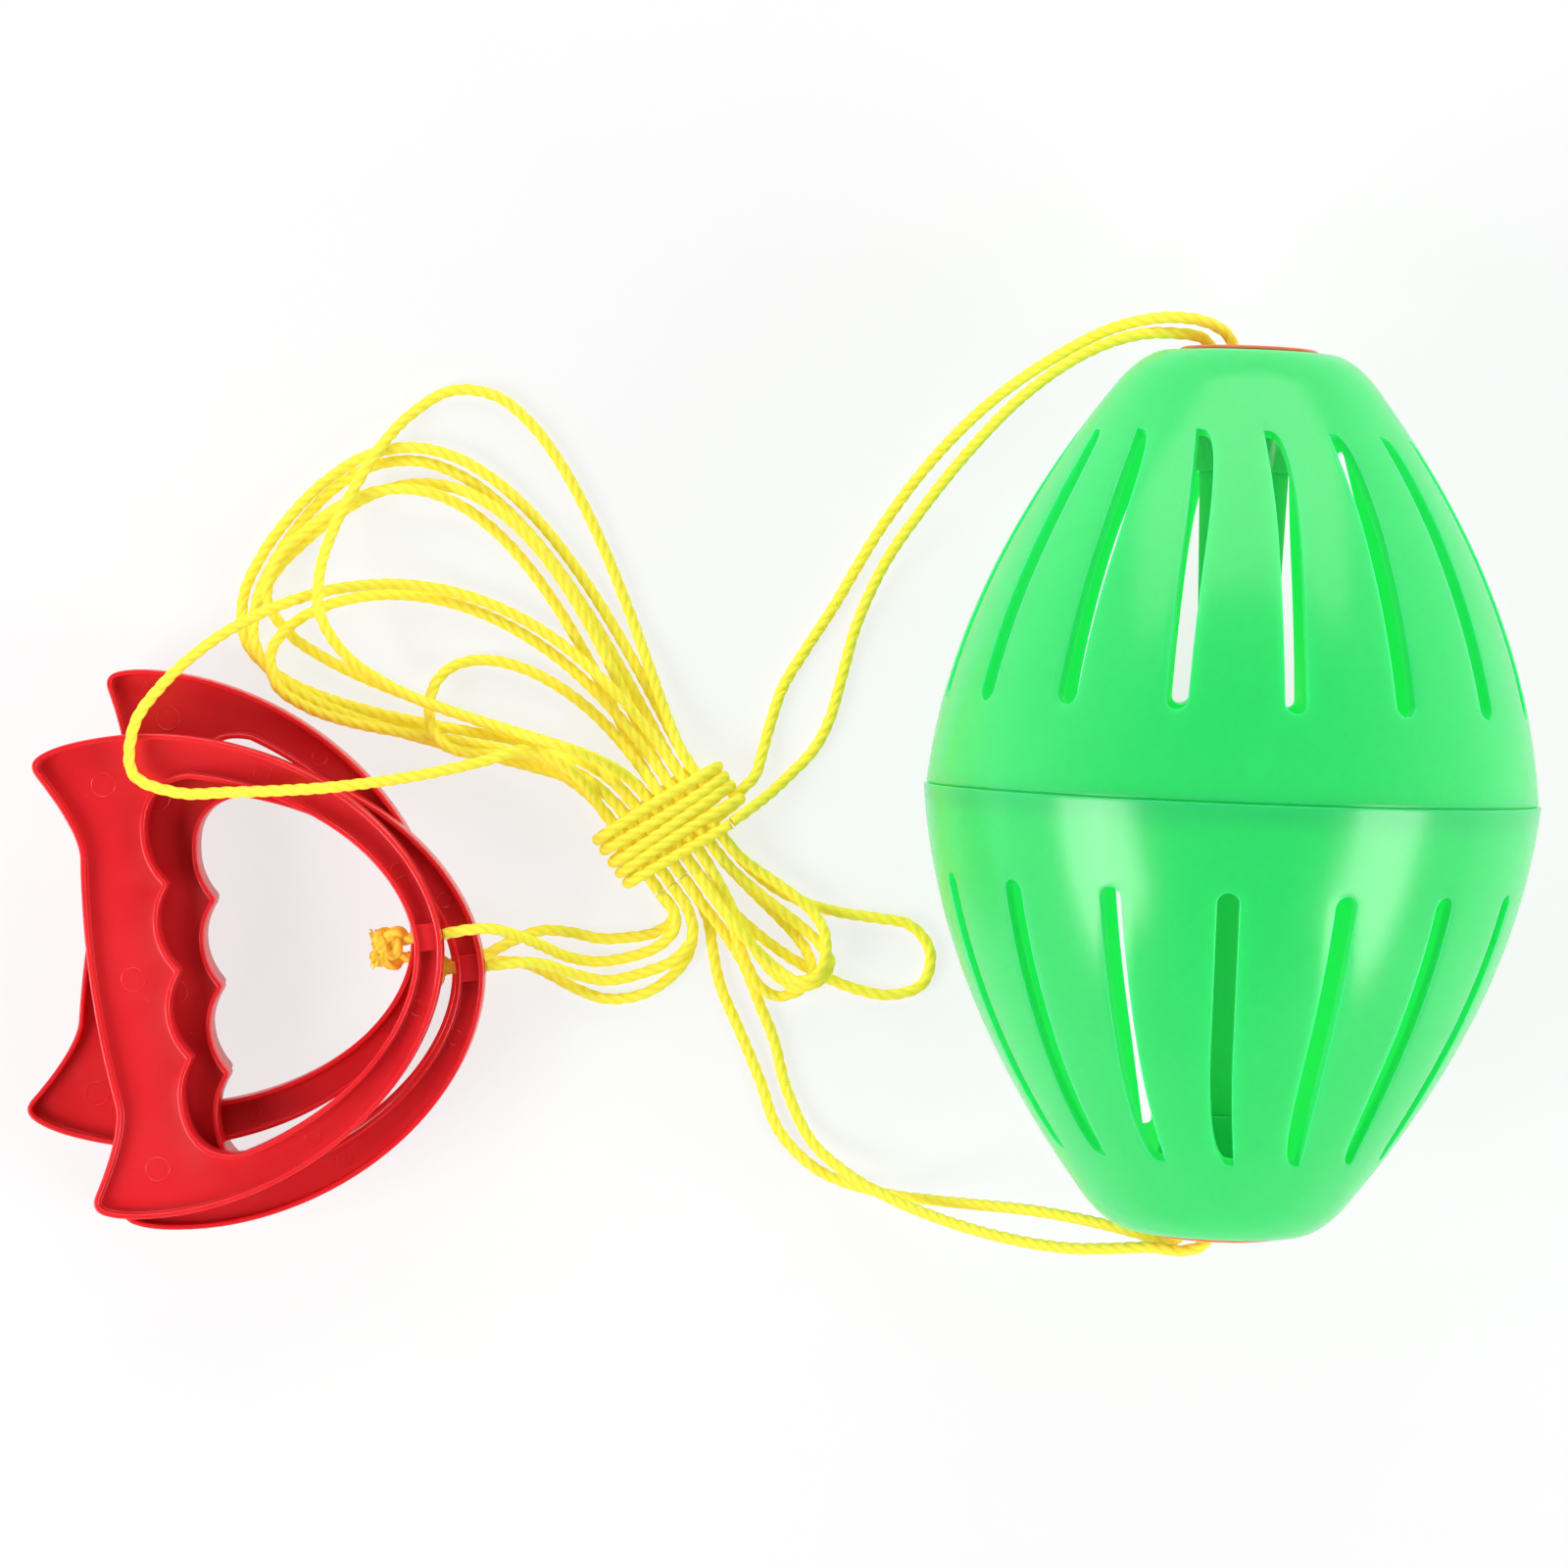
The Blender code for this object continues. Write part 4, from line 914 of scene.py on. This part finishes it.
def tray_section(edge, side):
    """Rounded (inset, height) section of a handle's rim, from the base up over the rim to the web."""
    base, top = -HANDLE_THICKNESS / 2, HANDLE_THICKNESS / 2
    web = base + HANDLE_WEB
    quarter = [pi / 2 * i / RIM_ROUND_STEPS for i in range(RIM_ROUND_STEPS + 1)]
    section = [(edge * (1 - sin(a)), base + edge * (1 - cos(a))) for a in quarter]
    section += [(edge * (1 - cos(a)), top - edge * (1 - sin(a))) for a in quarter]
    section += [(HANDLE_RIM - edge * (1 - sin(a)), top - edge * (1 - cos(a))) for a in quarter]
    section += [(HANDLE_RIM + edge * (1 - cos(a)), web + edge * (1 - sin(a))) for a in quarter]
    return [(side * distance, height) for distance, height in section]


def handle_piece(edge):
    """One handle: a tray with a rim along its edge and finger hole, rope boss and hole, ejector marks."""
    base = -HANDLE_THICKNESS / 2
    obj = join(drawn_wall(handle_outline(OUTLINE_DETAIL), tray_section(edge, 1)),
               drawn_wall(ease_tips(hole_outline(OUTLINE_DETAIL)), tray_section(edge, -1)))
    for height in (base, base + HANDLE_WEB):
        edit("DESELECT", "EDGE")
        bm = bmesh.from_edit_mesh(obj.data)
        for rim_edge in bm.edges:
            flat = all(abs(vert.co.z - height) < FLAT_WITHIN for vert in rim_edge.verts)
            rim_edge.select_set(flat and rim_edge.is_boundary)
        bmesh.update_edit_mesh(obj.data)
        bpy.ops.mesh.fill(use_beauty=True)
        leave_edit()
    face_outward(obj)
    half = BOSS_WIDTH / 2
    start, end = HANDLE_RIM / 2 - ARC_WIDTH, -HANDLE_RIM / 2
    boss = plate([(start, -half), (end, -half), (end, half), (start, half)],
                 base + HANDLE_WEB / 2, base + BOSS_HEIGHT)
    soften(boss, edge, segments=2)
    combine(obj, boss, "UNION")
    only(None)
    bpy.ops.mesh.primitive_cylinder_add(vertices=ROPE_HOLE_SIDES, radius=ROPE_HOLE_RADIUS,
                                        depth=4 * ARC_WIDTH, location=(0, 0, 0), rotation=(0, pi / 2, 0))
    combine(obj, bpy.context.object, "DIFFERENCE")
    for mark in PIN_MARKS:
        combine(obj, pin_mark(*mark), "UNION")
    only(obj)
    bpy.ops.object.shade_smooth_by_angle(angle=HANDLE_SMOOTH_ANGLE)
    return obj


def handle_place(name):
    """Where a handle lies in the stack."""
    level, place, heading = HANDLES[name]
    height = HANDLE_THICKNESS / 2 + level * (HANDLE_THICKNESS + STACK_GAP)
    return Matrix.Translation((*place, height)) @ Euler((0, 0, heading)).to_matrix().to_4x4()


class TUGBALL_OT_handles(Operator):
    """Make one handle and copy it to its four places"""
    bl_idname = "tugball.handles"
    bl_label = "Handles"

    def execute(self, context):
        settings = context.scene.tugball_handle
        red = moulded("moulded_red", settings.red, roughness=0.24, flow_depth=0.14, glow=1 * MM)
        master = handle_piece(settings.edge)
        for name in HANDLES:
            only(master)
            bpy.ops.object.duplicate(linked=False)
            copy = bpy.context.object
            copy.matrix_world = handle_place(name)
            settle(copy, f"{name}_moulding", red, name, name, slot="red_plastic")
        bpy.data.objects.remove(master, do_unlink=True)
        return {"FINISHED"}


# Rope

def distances(path):
    """How far along the path each of its points is."""
    return np.concatenate([[0], np.cumsum(np.linalg.norm(np.diff(path, axis=0), axis=1))])


def evenly(dense, count=None, spacing=None):
    """Points at even distances along a dense path: so many of them, or about so far apart."""
    along = distances(dense)
    marks = np.linspace(0, along[-1], count or max(4, round(along[-1] / spacing) + 1))
    return np.column_stack([np.interp(marks, along, axis) for axis in dense.T])


def fours(points):
    """Each run of four points, with one point more beyond each end, in line with the last two."""
    ends = np.vstack([2 * points[0] - points[1], points, 2 * points[-1] - points[-2]])
    return zip(ends, ends[1:], ends[2:], ends[3:])


def smooth_through(points, spacing):
    """Evenly spaced points on a smooth curve through the given points."""
    points = np.array(points, float)
    dense = []
    for four in fours(points):
        pairs = list(zip(four, four[1:]))
        knots = np.concatenate([[0], np.cumsum([np.sqrt(np.linalg.norm(q - p)) for p, q in pairs])])
        for t in np.linspace(knots[1], knots[2], CURVE_STEPS, endpoint=False):
            low = [((knots[i + 1] - t) * p + (t - knots[i]) * q) / (knots[i + 1] - knots[i])
                   for i, (p, q) in enumerate(pairs)]
            mid = [((knots[i + 2] - t) * low[i] + (t - knots[i]) * low[i + 1]) / (knots[i + 2] - knots[i])
                   for i in (0, 1)]
            dense.append(((knots[2] - t) * mid[0] + (t - knots[1]) * mid[1]) / (knots[2] - knots[1]))
    return evenly(np.array(dense + [points[-1]]), spacing=spacing)


def laid_rope(name, path, lay, material, radius=ROPE_RADIUS):
    """Three strands laid round each other along the path, as one skin with a groove between strands."""
    sides, steps = ROPE_SIDES, len(path)
    tangent = np.gradient(path, axis=0)
    tangent /= np.linalg.norm(tangent, axis=1)[:, None]
    across = np.cross(tangent[0], (0, 0, 1.0))
    if np.linalg.norm(across) < 0.1:
        across = np.cross(tangent[0], (1.0, 0, 0))
    across = unit(across)
    along = distances(path)
    column = 2 * pi * np.arange(sides) / sides
    lobe = np.abs(np.cos(1.5 * column)) ** STRAND_ROUND
    reach = radius * (STRAND_CORE + STRAND_BULGE * lobe)
    rings = np.empty((steps, sides, 3))
    for i in range(steps):
        across = unit(across - tangent[i] * (across @ tangent[i]))
        up = np.cross(tangent[i], across)
        turn = column + 2 * pi * along[i] / lay
        rings[i] = path[i] + reach[:, None] * (np.cos(turn)[:, None] * across + np.sin(turn)[:, None] * up)
    verts = np.vstack([rings.reshape(-1, 3), path[0], path[-1]])
    faces = []
    for i in range(steps - 1):
        for k in range(sides):
            j = (k + 1) % sides
            faces.append((i * sides + k, i * sides + j, (i + 1) * sides + j, (i + 1) * sides + k))
    last = (steps - 1) * sides
    for k in range(sides):
        j = (k + 1) % sides
        faces.append((steps * sides, j, k))
        faces.append((steps * sides + 1, last + k, last + j))
    mesh = bpy.data.meshes.new(name)
    mesh.from_pydata(verts.tolist(), [], faces)
    strands = mesh.uv_layers.new(name="Strands")
    uv = np.zeros((len(mesh.loops), 2))
    full = (steps - 1) * sides
    for f, polygon in enumerate(mesh.polygons):
        for corner, loop in zip(polygon.vertices, polygon.loop_indices):
            row, k = divmod(min(corner, steps * sides - 1), sides)
            wrapped = f < full and f % sides == sides - 1 and k == 0
            uv[loop] = ((k + sides * wrapped) / sides, along[row])
    strands.data.foreach_set("uv", uv.ravel())
    # How deep each point lies between the strands, which the yarn's finish turns into painted shade
    groove = mesh.attributes.new("groove", "FLOAT", "POINT")
    groove.data.foreach_set("value", np.concatenate([np.tile(1 - lobe, steps), [0.5, 0.5]]))
    mesh.materials.append(material)
    mesh.shade_smooth()
    return add(name, mesh)


def length_of(path):
    return float(np.linalg.norm(np.diff(path, axis=0), axis=1).sum())


def along_runs(path):
    """The path's points with even steps between them."""
    t = np.linspace(0, 1, RUN_STEPS, endpoint=False)[:, None]
    return np.vstack([a + (b - a) * t for a, b in zip(path, path[1:])] + [path[-1:]])


def poly_points(points, spacing):
    """The points that the part's own tubes bend at, so that the loops are laid over the same stretches."""
    points = np.array(points, float)
    dense = []
    for a, b, c, d in fours(points):
        for t in np.linspace(0, 1, PART_CURVE_STEPS, endpoint=False):
            dense.append(0.5 * (2 * b + (c - a) * t + (2 * a - 5 * b + 4 * c - d) * t ** 2
                                + (3 * b - a - 3 * c + d) * t ** 3))
    return evenly(np.array(dense + [points[-1]]), spacing=spacing)


def layer_height(layer):
    """Height of a layer of strands in the tie, over the turns that pass below."""
    return ROPE_RADIUS + LAYER_REST + STRAND_PITCH * (1 + layer)


def strand_end(column, side):
    """Where a strand comes out of the tie: side 1 at the short loops, -1 at the long ones."""
    offset = (column - (STRAND_COLUMNS - 1) / 2) * STRAND_PITCH
    return TIE_CENTRE + TIE_ACROSS * offset + TIE_AXIS * WAIST_HALF_LENGTH * side


def strand(column, layer):
    """The two ends of a strand inside the tie."""
    return np.array([(*strand_end(column, side), layer_height(layer)) for side in (1, -1)])


def loop_plan(loop, side, count):
    """A loop seen from above: out of the tie, round its far point and back."""
    leaves, returns, far, heading, run_out, run_to, run_from, run_in = loop
    start, end = strand_end(leaves, side), strand_end(returns, side)
    outward = TIE_AXIS * side
    far = np.array(far) * MM
    along = np.array((cos(radians(heading)), sin(radians(heading))))
    runs = [(start, start + outward * run_out * MM, far - along * run_to * MM, far),
            (far, far + along * run_from * MM, end + outward * run_in * MM, end)]
    plan = []
    for a, b, c, d in runs:
        for t in np.linspace(0, 1, LOOP_PLAN_STEPS, endpoint=False)[:, None]:
            s = 1 - t
            plan.append(s ** 3 * a + 3 * t * s ** 2 * b + 3 * t ** 2 * s * c + t ** 3 * d)
    return evenly(np.array(plan + [end]), count + 1)


def ease_slopes(path):
    """Raise the points beside a high one, so that no run is steeper than the rope lies."""
    steps = np.linalg.norm(np.diff(path[:, :2], axis=0), axis=1) * LAY_SLOPE
    for i in range(1, len(path)):
        path[i, 2] = max(path[i, 2], path[i - 1, 2] - steps[i - 1])
    for i in range(len(path) - 2, -1, -1):
        path[i, 2] = max(path[i, 2], path[i + 1, 2] - steps[i])


HANDLE_REST = inset(handle_outline(1), -ROPE_DIAMETER)


def ground(x, y):
    """Lowest height of a rope's middle at a place: on the table, or on the handles there."""
    height = ROPE_RADIUS + TABLE_REST
    for level, place, heading in HANDLES.values():
        dx, dy = x - place[0], y - place[1]
        u, v = dx * cos(heading) + dy * sin(heading), dy * cos(heading) - dx * sin(heading)
        if inside(HANDLE_REST, u, v):
            height = max(height, (level + 1) * (HANDLE_THICKNESS + STACK_GAP) + ROPE_RADIUS)
    return height


def lay_over(plan, height, laid):
    """Let a loop down from the tie onto the table, over whatever lies there already."""
    samples = along_runs(plan)
    least = np.array([ground(x, y) for x, y in samples])
    for k, sample in enumerate(samples):
        aside = np.hypot(laid[:, 0] - sample[0], laid[:, 1] - sample[1])
        near = aside < ROPE_CLEARANCE
        if near.any():
            least[k] = max(least[k], (laid[near, 2] + np.sqrt(ROPE_CLEARANCE ** 2 - aside[near] ** 2)).max())
        if np.linalg.norm(plan[[0, -1]] - sample, axis=1).min() < TIE_MOUTH:
            least[k] = 0
    path = np.column_stack([plan, least[::RUN_STEPS]])
    for _ in range(LAY_PASSES):
        path[[0, -1], 2] = height
        ease_slopes(path)
        path[[0, -1], 2] = height
        short = least - along_runs(path)[:, 2]
        lift = np.zeros(len(path))
        for k in np.flatnonzero(short > 0):
            first = min(k // RUN_STEPS, len(path) - 2)
            lift[first:first + 2] = np.maximum(lift[first:first + 2], short[k])
        lift[[0, -1]] = 0
        if lift.max() < LAY_WITHIN:
            break
        path[:, 2] += lift
    return path


def hank_paths(free_paths):
    """The four spare lengths as they lie, by rope and by the end of the ball that they come from."""
    layers = [(("a", "top"), ("b", "bottom")), (("a", "bottom"), ("b", "top"))]
    free = np.vstack([along_runs(path) for path in free_paths])
    laid, loops, paths = [], {}, {}
    for layer, spares in enumerate(layers):
        height = layer_height(layer)
        strands = [along_runs(strand(column, layer)) for column in range(STRAND_COLUMNS)]
        under = free[free[:, 2] < height + STRAND_PITCH / 2]
        for spare in spares:
            for number in (2, 1, 0):
                loop = LONG_LOOPS[(*spare, number)] if number else SHORT_LOOPS[spare]
                plan = loop_plan(loop, -1, LOOP_POINTS) if number else loop_plan(loop, 1, SHORT_LOOP_POINTS)
                others = [run for column, run in enumerate(strands) if column not in loop[:2]]
                loops[spare, number] = lay_over(plan, height, np.vstack(laid + others + [under]))
                laid.append(along_runs(loops[spare, number]))
        laid += strands
        for rope, end in spares:
            first, short, second = (loops[(rope, end), number] for number in (1, 0, 2))
            first = first[::-1] if end == "bottom" else first
            entry = LONG_LOOPS[rope, end, 1][1 if end == "bottom" else 0]
            leave = LONG_LOOPS[rope, end, 2][1]
            start = strand(entry, layer)
            start = start[:1] if end == "bottom" else start.mean(axis=0, keepdims=True)
            paths[rope, end] = np.vstack([start, first, short, second, strand(leave, layer)[:1]])
    return paths


def tie_path():
    """Turns of rope round the strands: flat runs above and below, round ends."""
    straight = STRAND_PITCH * (STRAND_COLUMNS - 1)
    middle = (layer_height(0) + layer_height(1)) / 2
    radius = layer_height(1) + STRAND_PITCH - middle
    lap = 2 * straight + 2 * pi * radius
    count = TIE_TURNS * TIE_TURN_POINTS
    path = []
    for i in range(count + 1):
        travelled = i / count * (TIE_TURNS * lap - pi * radius)
        side = 1 if travelled % lap < lap / 2 else -1
        run = travelled % (lap / 2)
        turn = max(0, run - straight) / radius
        across = side * (straight / 2 - min(run, straight) - radius * sin(turn))
        unevenness = 0.12 * sin(2.6 * pi * travelled / lap) + 0.1 * sin(1.1 * travelled / lap + 1)
        axial = STRAND_PITCH * (travelled / lap - TIE_TURNS / 2 + unevenness)
        place = TIE_CENTRE + TIE_ACROSS * across + TIE_AXIS * axial
        path.append((*place, middle - side * radius * cos(turn)))
    return np.array(path)


def lead_route(name):
    """From the handle's hole to the tie."""
    level, place, heading = HANDLES[name]
    height = HANDLE_THICKNESS / 2 + level * (HANDLE_THICKNESS + STACK_GAP)
    start = np.array((place[0] + GAP * cos(heading), place[1] + GAP * sin(heading), height))
    return np.vstack([start, np.array(LEADS[name]) * MM])


class TUGBALL_OT_ropes(Operator):
    """Lay the two ropes: stretches, runs inside the ball, leads, hank and tie"""
    bl_idname = "tugball.ropes"
    bl_label = "Ropes"

    def execute(self, context):
        settings = context.scene.tugball_rope
        yarn = rope_yarn("yellow_yarn", settings.yellow, YARN_SHADED, roughness=0.42)

        def lay_rope(name, points):
            path = smooth_through(points, RING_STEP)
            obj = laid_rope(f"{name}_rope", path, settings.lay, yarn)
            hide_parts(name)
            length_of(path)
            return obj, path

        free = []
        for rope in "ab":
            for name, points in ((f"top_stretch_{rope}", TOP_STRETCHES[rope]),
                                 (f"bottom_stretch_{rope}", BOTTOM_STRETCHES[rope])):
                route = np.array(points) * MM
                free.append(poly_points(route, FREE_SPACING))
                obj, path = lay_rope(name, route)
                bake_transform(obj)
            inner = np.array(INNER_ROPES[rope]) * MM
            free.append(poly_points(inner, INNER_SPACING))
            obj, _ = lay_rope(f"inner_rope_{rope}", inner)
            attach(obj, "ball")
        for name in HANDLES:
            route = lead_route(name)
            free.append(poly_points(route, FREE_SPACING))
            obj, path = lay_rope(name.replace("handle", "lead"), route)
            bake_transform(obj)
        for (rope, end), points in hank_paths(free).items():
            obj, _ = lay_rope(f"hank_{rope}_{end}", points)
            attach(obj, "ropes")
        obj, _ = lay_rope("hank_tie", tie_path())
        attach(obj, "ropes")
        return {"FINISHED"}


def knot_points(hand):
    """Route of the rope's end: through the handle, round a left or right overhand knot, out to the tail."""
    middle = -ARC_WIDTH / MM - KNOT_BACK
    points = [(-0.15, 0, 0), (-4, 0, 0), (-7.4, 0.1, 0.2)]
    for t in np.linspace(KNOT_START, 2 * pi - KNOT_STOP, KNOT_POINTS):
        points.append((middle + KNOT_SIZE * (sin(t) + 2 * sin(2 * t)),
                       KNOT_SIZE * (cos(t) - 2 * cos(2 * t)) * hand, -KNOT_DEPTH * sin(3 * t)))
    end, before = np.array(points[-1]), np.array(points[-3])
    out = unit(end - before)
    for reach, shift in ((1.6, (-0.6, 0, 0.4)), (3.0, (-1.4, 0, 0.8))):
        points.append(tuple(end + out * reach + np.array(shift)))
    return np.array(points) * MM


class TUGBALL_OT_knots(Operator):
    """Tie the stopper knot behind each handle and fray the rope's end"""
    bl_idname = "tugball.knots"
    bl_label = "Knots"

    def execute(self, context):
        settings = context.scene.tugball_rope
        # The knots' yarn has its own lit and shaded colours for the painted shade in its grooves
        yarn = rope_yarn("knotted_yarn", KNOT_YARN, KNOT_YARN_SHADED, roughness=0.5)
        for number, name in enumerate(HANDLES, 1):
            place = np.array(handle_place(name))
            path = smooth_through(knot_points(1 if number % 2 else -1), KNOT_STEP)
            path = path @ place[:3, :3].T + place[:3, 3]
            knot = name.replace("handle", "knot")
            obj = laid_rope(f"{knot}_overhand", path, settings.lay, yarn, ROPE_RADIUS * KNOT_ROPE_SHARE)
            tail = unit(path[-1] - path[-6])
            chance = np.random.default_rng(number)
            pieces = [obj]
            for k in range(settings.fray):
                spread = chance.normal(0, FRAY_SPREAD, 3) * FRAY_FLATTEN
                reach = chance.uniform(*FRAY_REACH) * MM
                start = path[-1] - tail * FRAY_ROOT + chance.normal(0, FRAY_SCATTER, 3) * MM
                bend = chance.normal(0, FRAY_BEND, 3)
                t = np.linspace(0, 1, FRAY_POINTS)[:, None]
                fibre = start + (tail + spread) * reach * t + bend * reach * t * t
                fibre[:, 2] = np.maximum(fibre[:, 2], FRAY_LOWEST)
                pieces.append(laid_rope(f"fibre_{k}", fibre, settings.lay, yarn, FRAY_RADIUS))
            settle(join(*pieces), f"{knot}_overhand", yarn, name, knot, slot="yellow_rope")
        return {"FINISHED"}


# Stage

def area_light(name, place, aim, size, energy):
    data = bpy.data.lights.new(name, "AREA")
    data.shape = "RECTANGLE"
    data.size, data.size_y = size
    data.energy = energy
    obj = add(name, data)
    obj.location = place
    obj.rotation_euler = (Vector(aim) - Vector(place)).to_track_quat("-Z", "Y").to_euler()


class TUGBALL_OT_stage(Operator):
    """Set the white floor, the soft boxes and the camera over the table"""
    bl_idname = "tugball.stage"
    bl_label = "Stage"

    def execute(self, context):
        scene = context.scene
        only(None)
        bpy.ops.mesh.primitive_plane_add(size=FLOOR_SIZE, location=(0, 0, -FLOOR_DROP))
        floor = context.object
        floor.name = "studio_floor"
        paper = Finish(bpy.data.materials.new("white_paper"))
        place = paper.node("TexCoord", "Object")
        paper.set(Base_Color=paper.mix(paper.noise(place, 60, 3), (0.86, 0.86, 0.86), (0.9, 0.9, 0.9)),
                  Roughness=0.9, Specular_IOR_Level=0.1)
        glow = paper.tree.nodes.new("ShaderNodeEmission")
        mixed = paper.tree.nodes.new("ShaderNodeMixShader")
        connect(paper.tree, mixed.inputs["Fac"], paper.node("LightPath", "Is Camera Ray") * 0.25 + 0.5)
        paper.tree.links.new(paper.shader.outputs[0], mixed.inputs[1])
        paper.tree.links.new(glow.outputs[0], mixed.inputs[2])
        paper.tree.links.new(mixed.outputs[0], paper.tree.nodes["Material Output"].inputs["Surface"])
        floor.data.materials.append(paper.owner)
        # The room is dim overhead and lighter all round, and white where the camera sees it
        sky = Finish(bpy.data.worlds.new("studio"), "Background")
        height = sky.node("SeparateXYZ", "Z", Vector=sky.node("TexCoord", "Generated"))
        room = sky.mix(height * 1.3, WHITE, (0.08, 0.08, 0.08))
        sky.set(Color=sky.mix(sky.node("LightPath", "Is Camera Ray"), room, WHITE))
        scene.world = sky.owner
        power = scene.tugball_stage
        area_light("left_box", *LEFT_BOX, power.boxes)
        area_light("right_box", *RIGHT_BOX, power.boxes)
        area_light("back_panel", *BACK_PANEL, power.panel)
        camera = add("camera", bpy.data.cameras.new("camera"))
        camera.data.sensor_width = SENSOR_WIDTH
        camera.data.lens = FOCAL_PIXELS / FRAME_PIXELS * SENSOR_WIDTH
        camera.data.clip_start = 0.01
        forward = (CAMERA_AIM - CAMERA_EYE).normalized()
        up = Vector((-sin(CAMERA_ROLL), cos(CAMERA_ROLL), 0))
        right = forward.cross(up).normalized()
        up = right.cross(forward)
        turn = Matrix((right, up, -forward)).transposed().to_4x4()
        camera.matrix_world = Matrix.Translation(CAMERA_EYE) @ turn
        scene.camera = camera
        scene.view_settings.view_transform = "Standard"
        return {"FINISHED"}


class TUGBALL_PT_panel(Panel):
    bl_label = "Tug ball"
    bl_idname = "TUGBALL_PT_panel"
    bl_space_type = "VIEW_3D"
    bl_region_type = "UI"
    bl_category = "Tug ball"

    def draw(self, context):
        for operator in OPERATORS:
            self.layout.operator(operator.bl_idname)
        for group in SETTINGS:
            for key in SETTINGS[group].__annotations__:
                self.layout.prop(getattr(context.scene, group), key)


SETTINGS = {"tugball_shell": ShellSettings, "tugball_handle": HandleSettings, "tugball_rope": RopeSettings,
            "tugball_stage": StageSettings}
OPERATORS = (TUGBALL_OT_stage, TUGBALL_OT_knots, TUGBALL_OT_ropes, TUGBALL_OT_ball, TUGBALL_OT_handles)


def register():
    for cls in (*SETTINGS.values(), *OPERATORS, TUGBALL_PT_panel):
        bpy.utils.register_class(cls)
    for key, group in SETTINGS.items():
        setattr(bpy.types.Scene, key, PointerProperty(type=group))


def unregister():
    for key in SETTINGS:
        delattr(bpy.types.Scene, key)
    for cls in (TUGBALL_PT_panel, *reversed(OPERATORS), *reversed(SETTINGS.values())):
        bpy.utils.unregister_class(cls)


def main():
    register()
    bpy.ops.tugball.stage()
    bpy.ops.tugball.knots()
    bpy.ops.tugball.ropes()
    bpy.ops.tugball.ball()
    bpy.ops.tugball.handles()


if __name__ == "__main__":
    main()
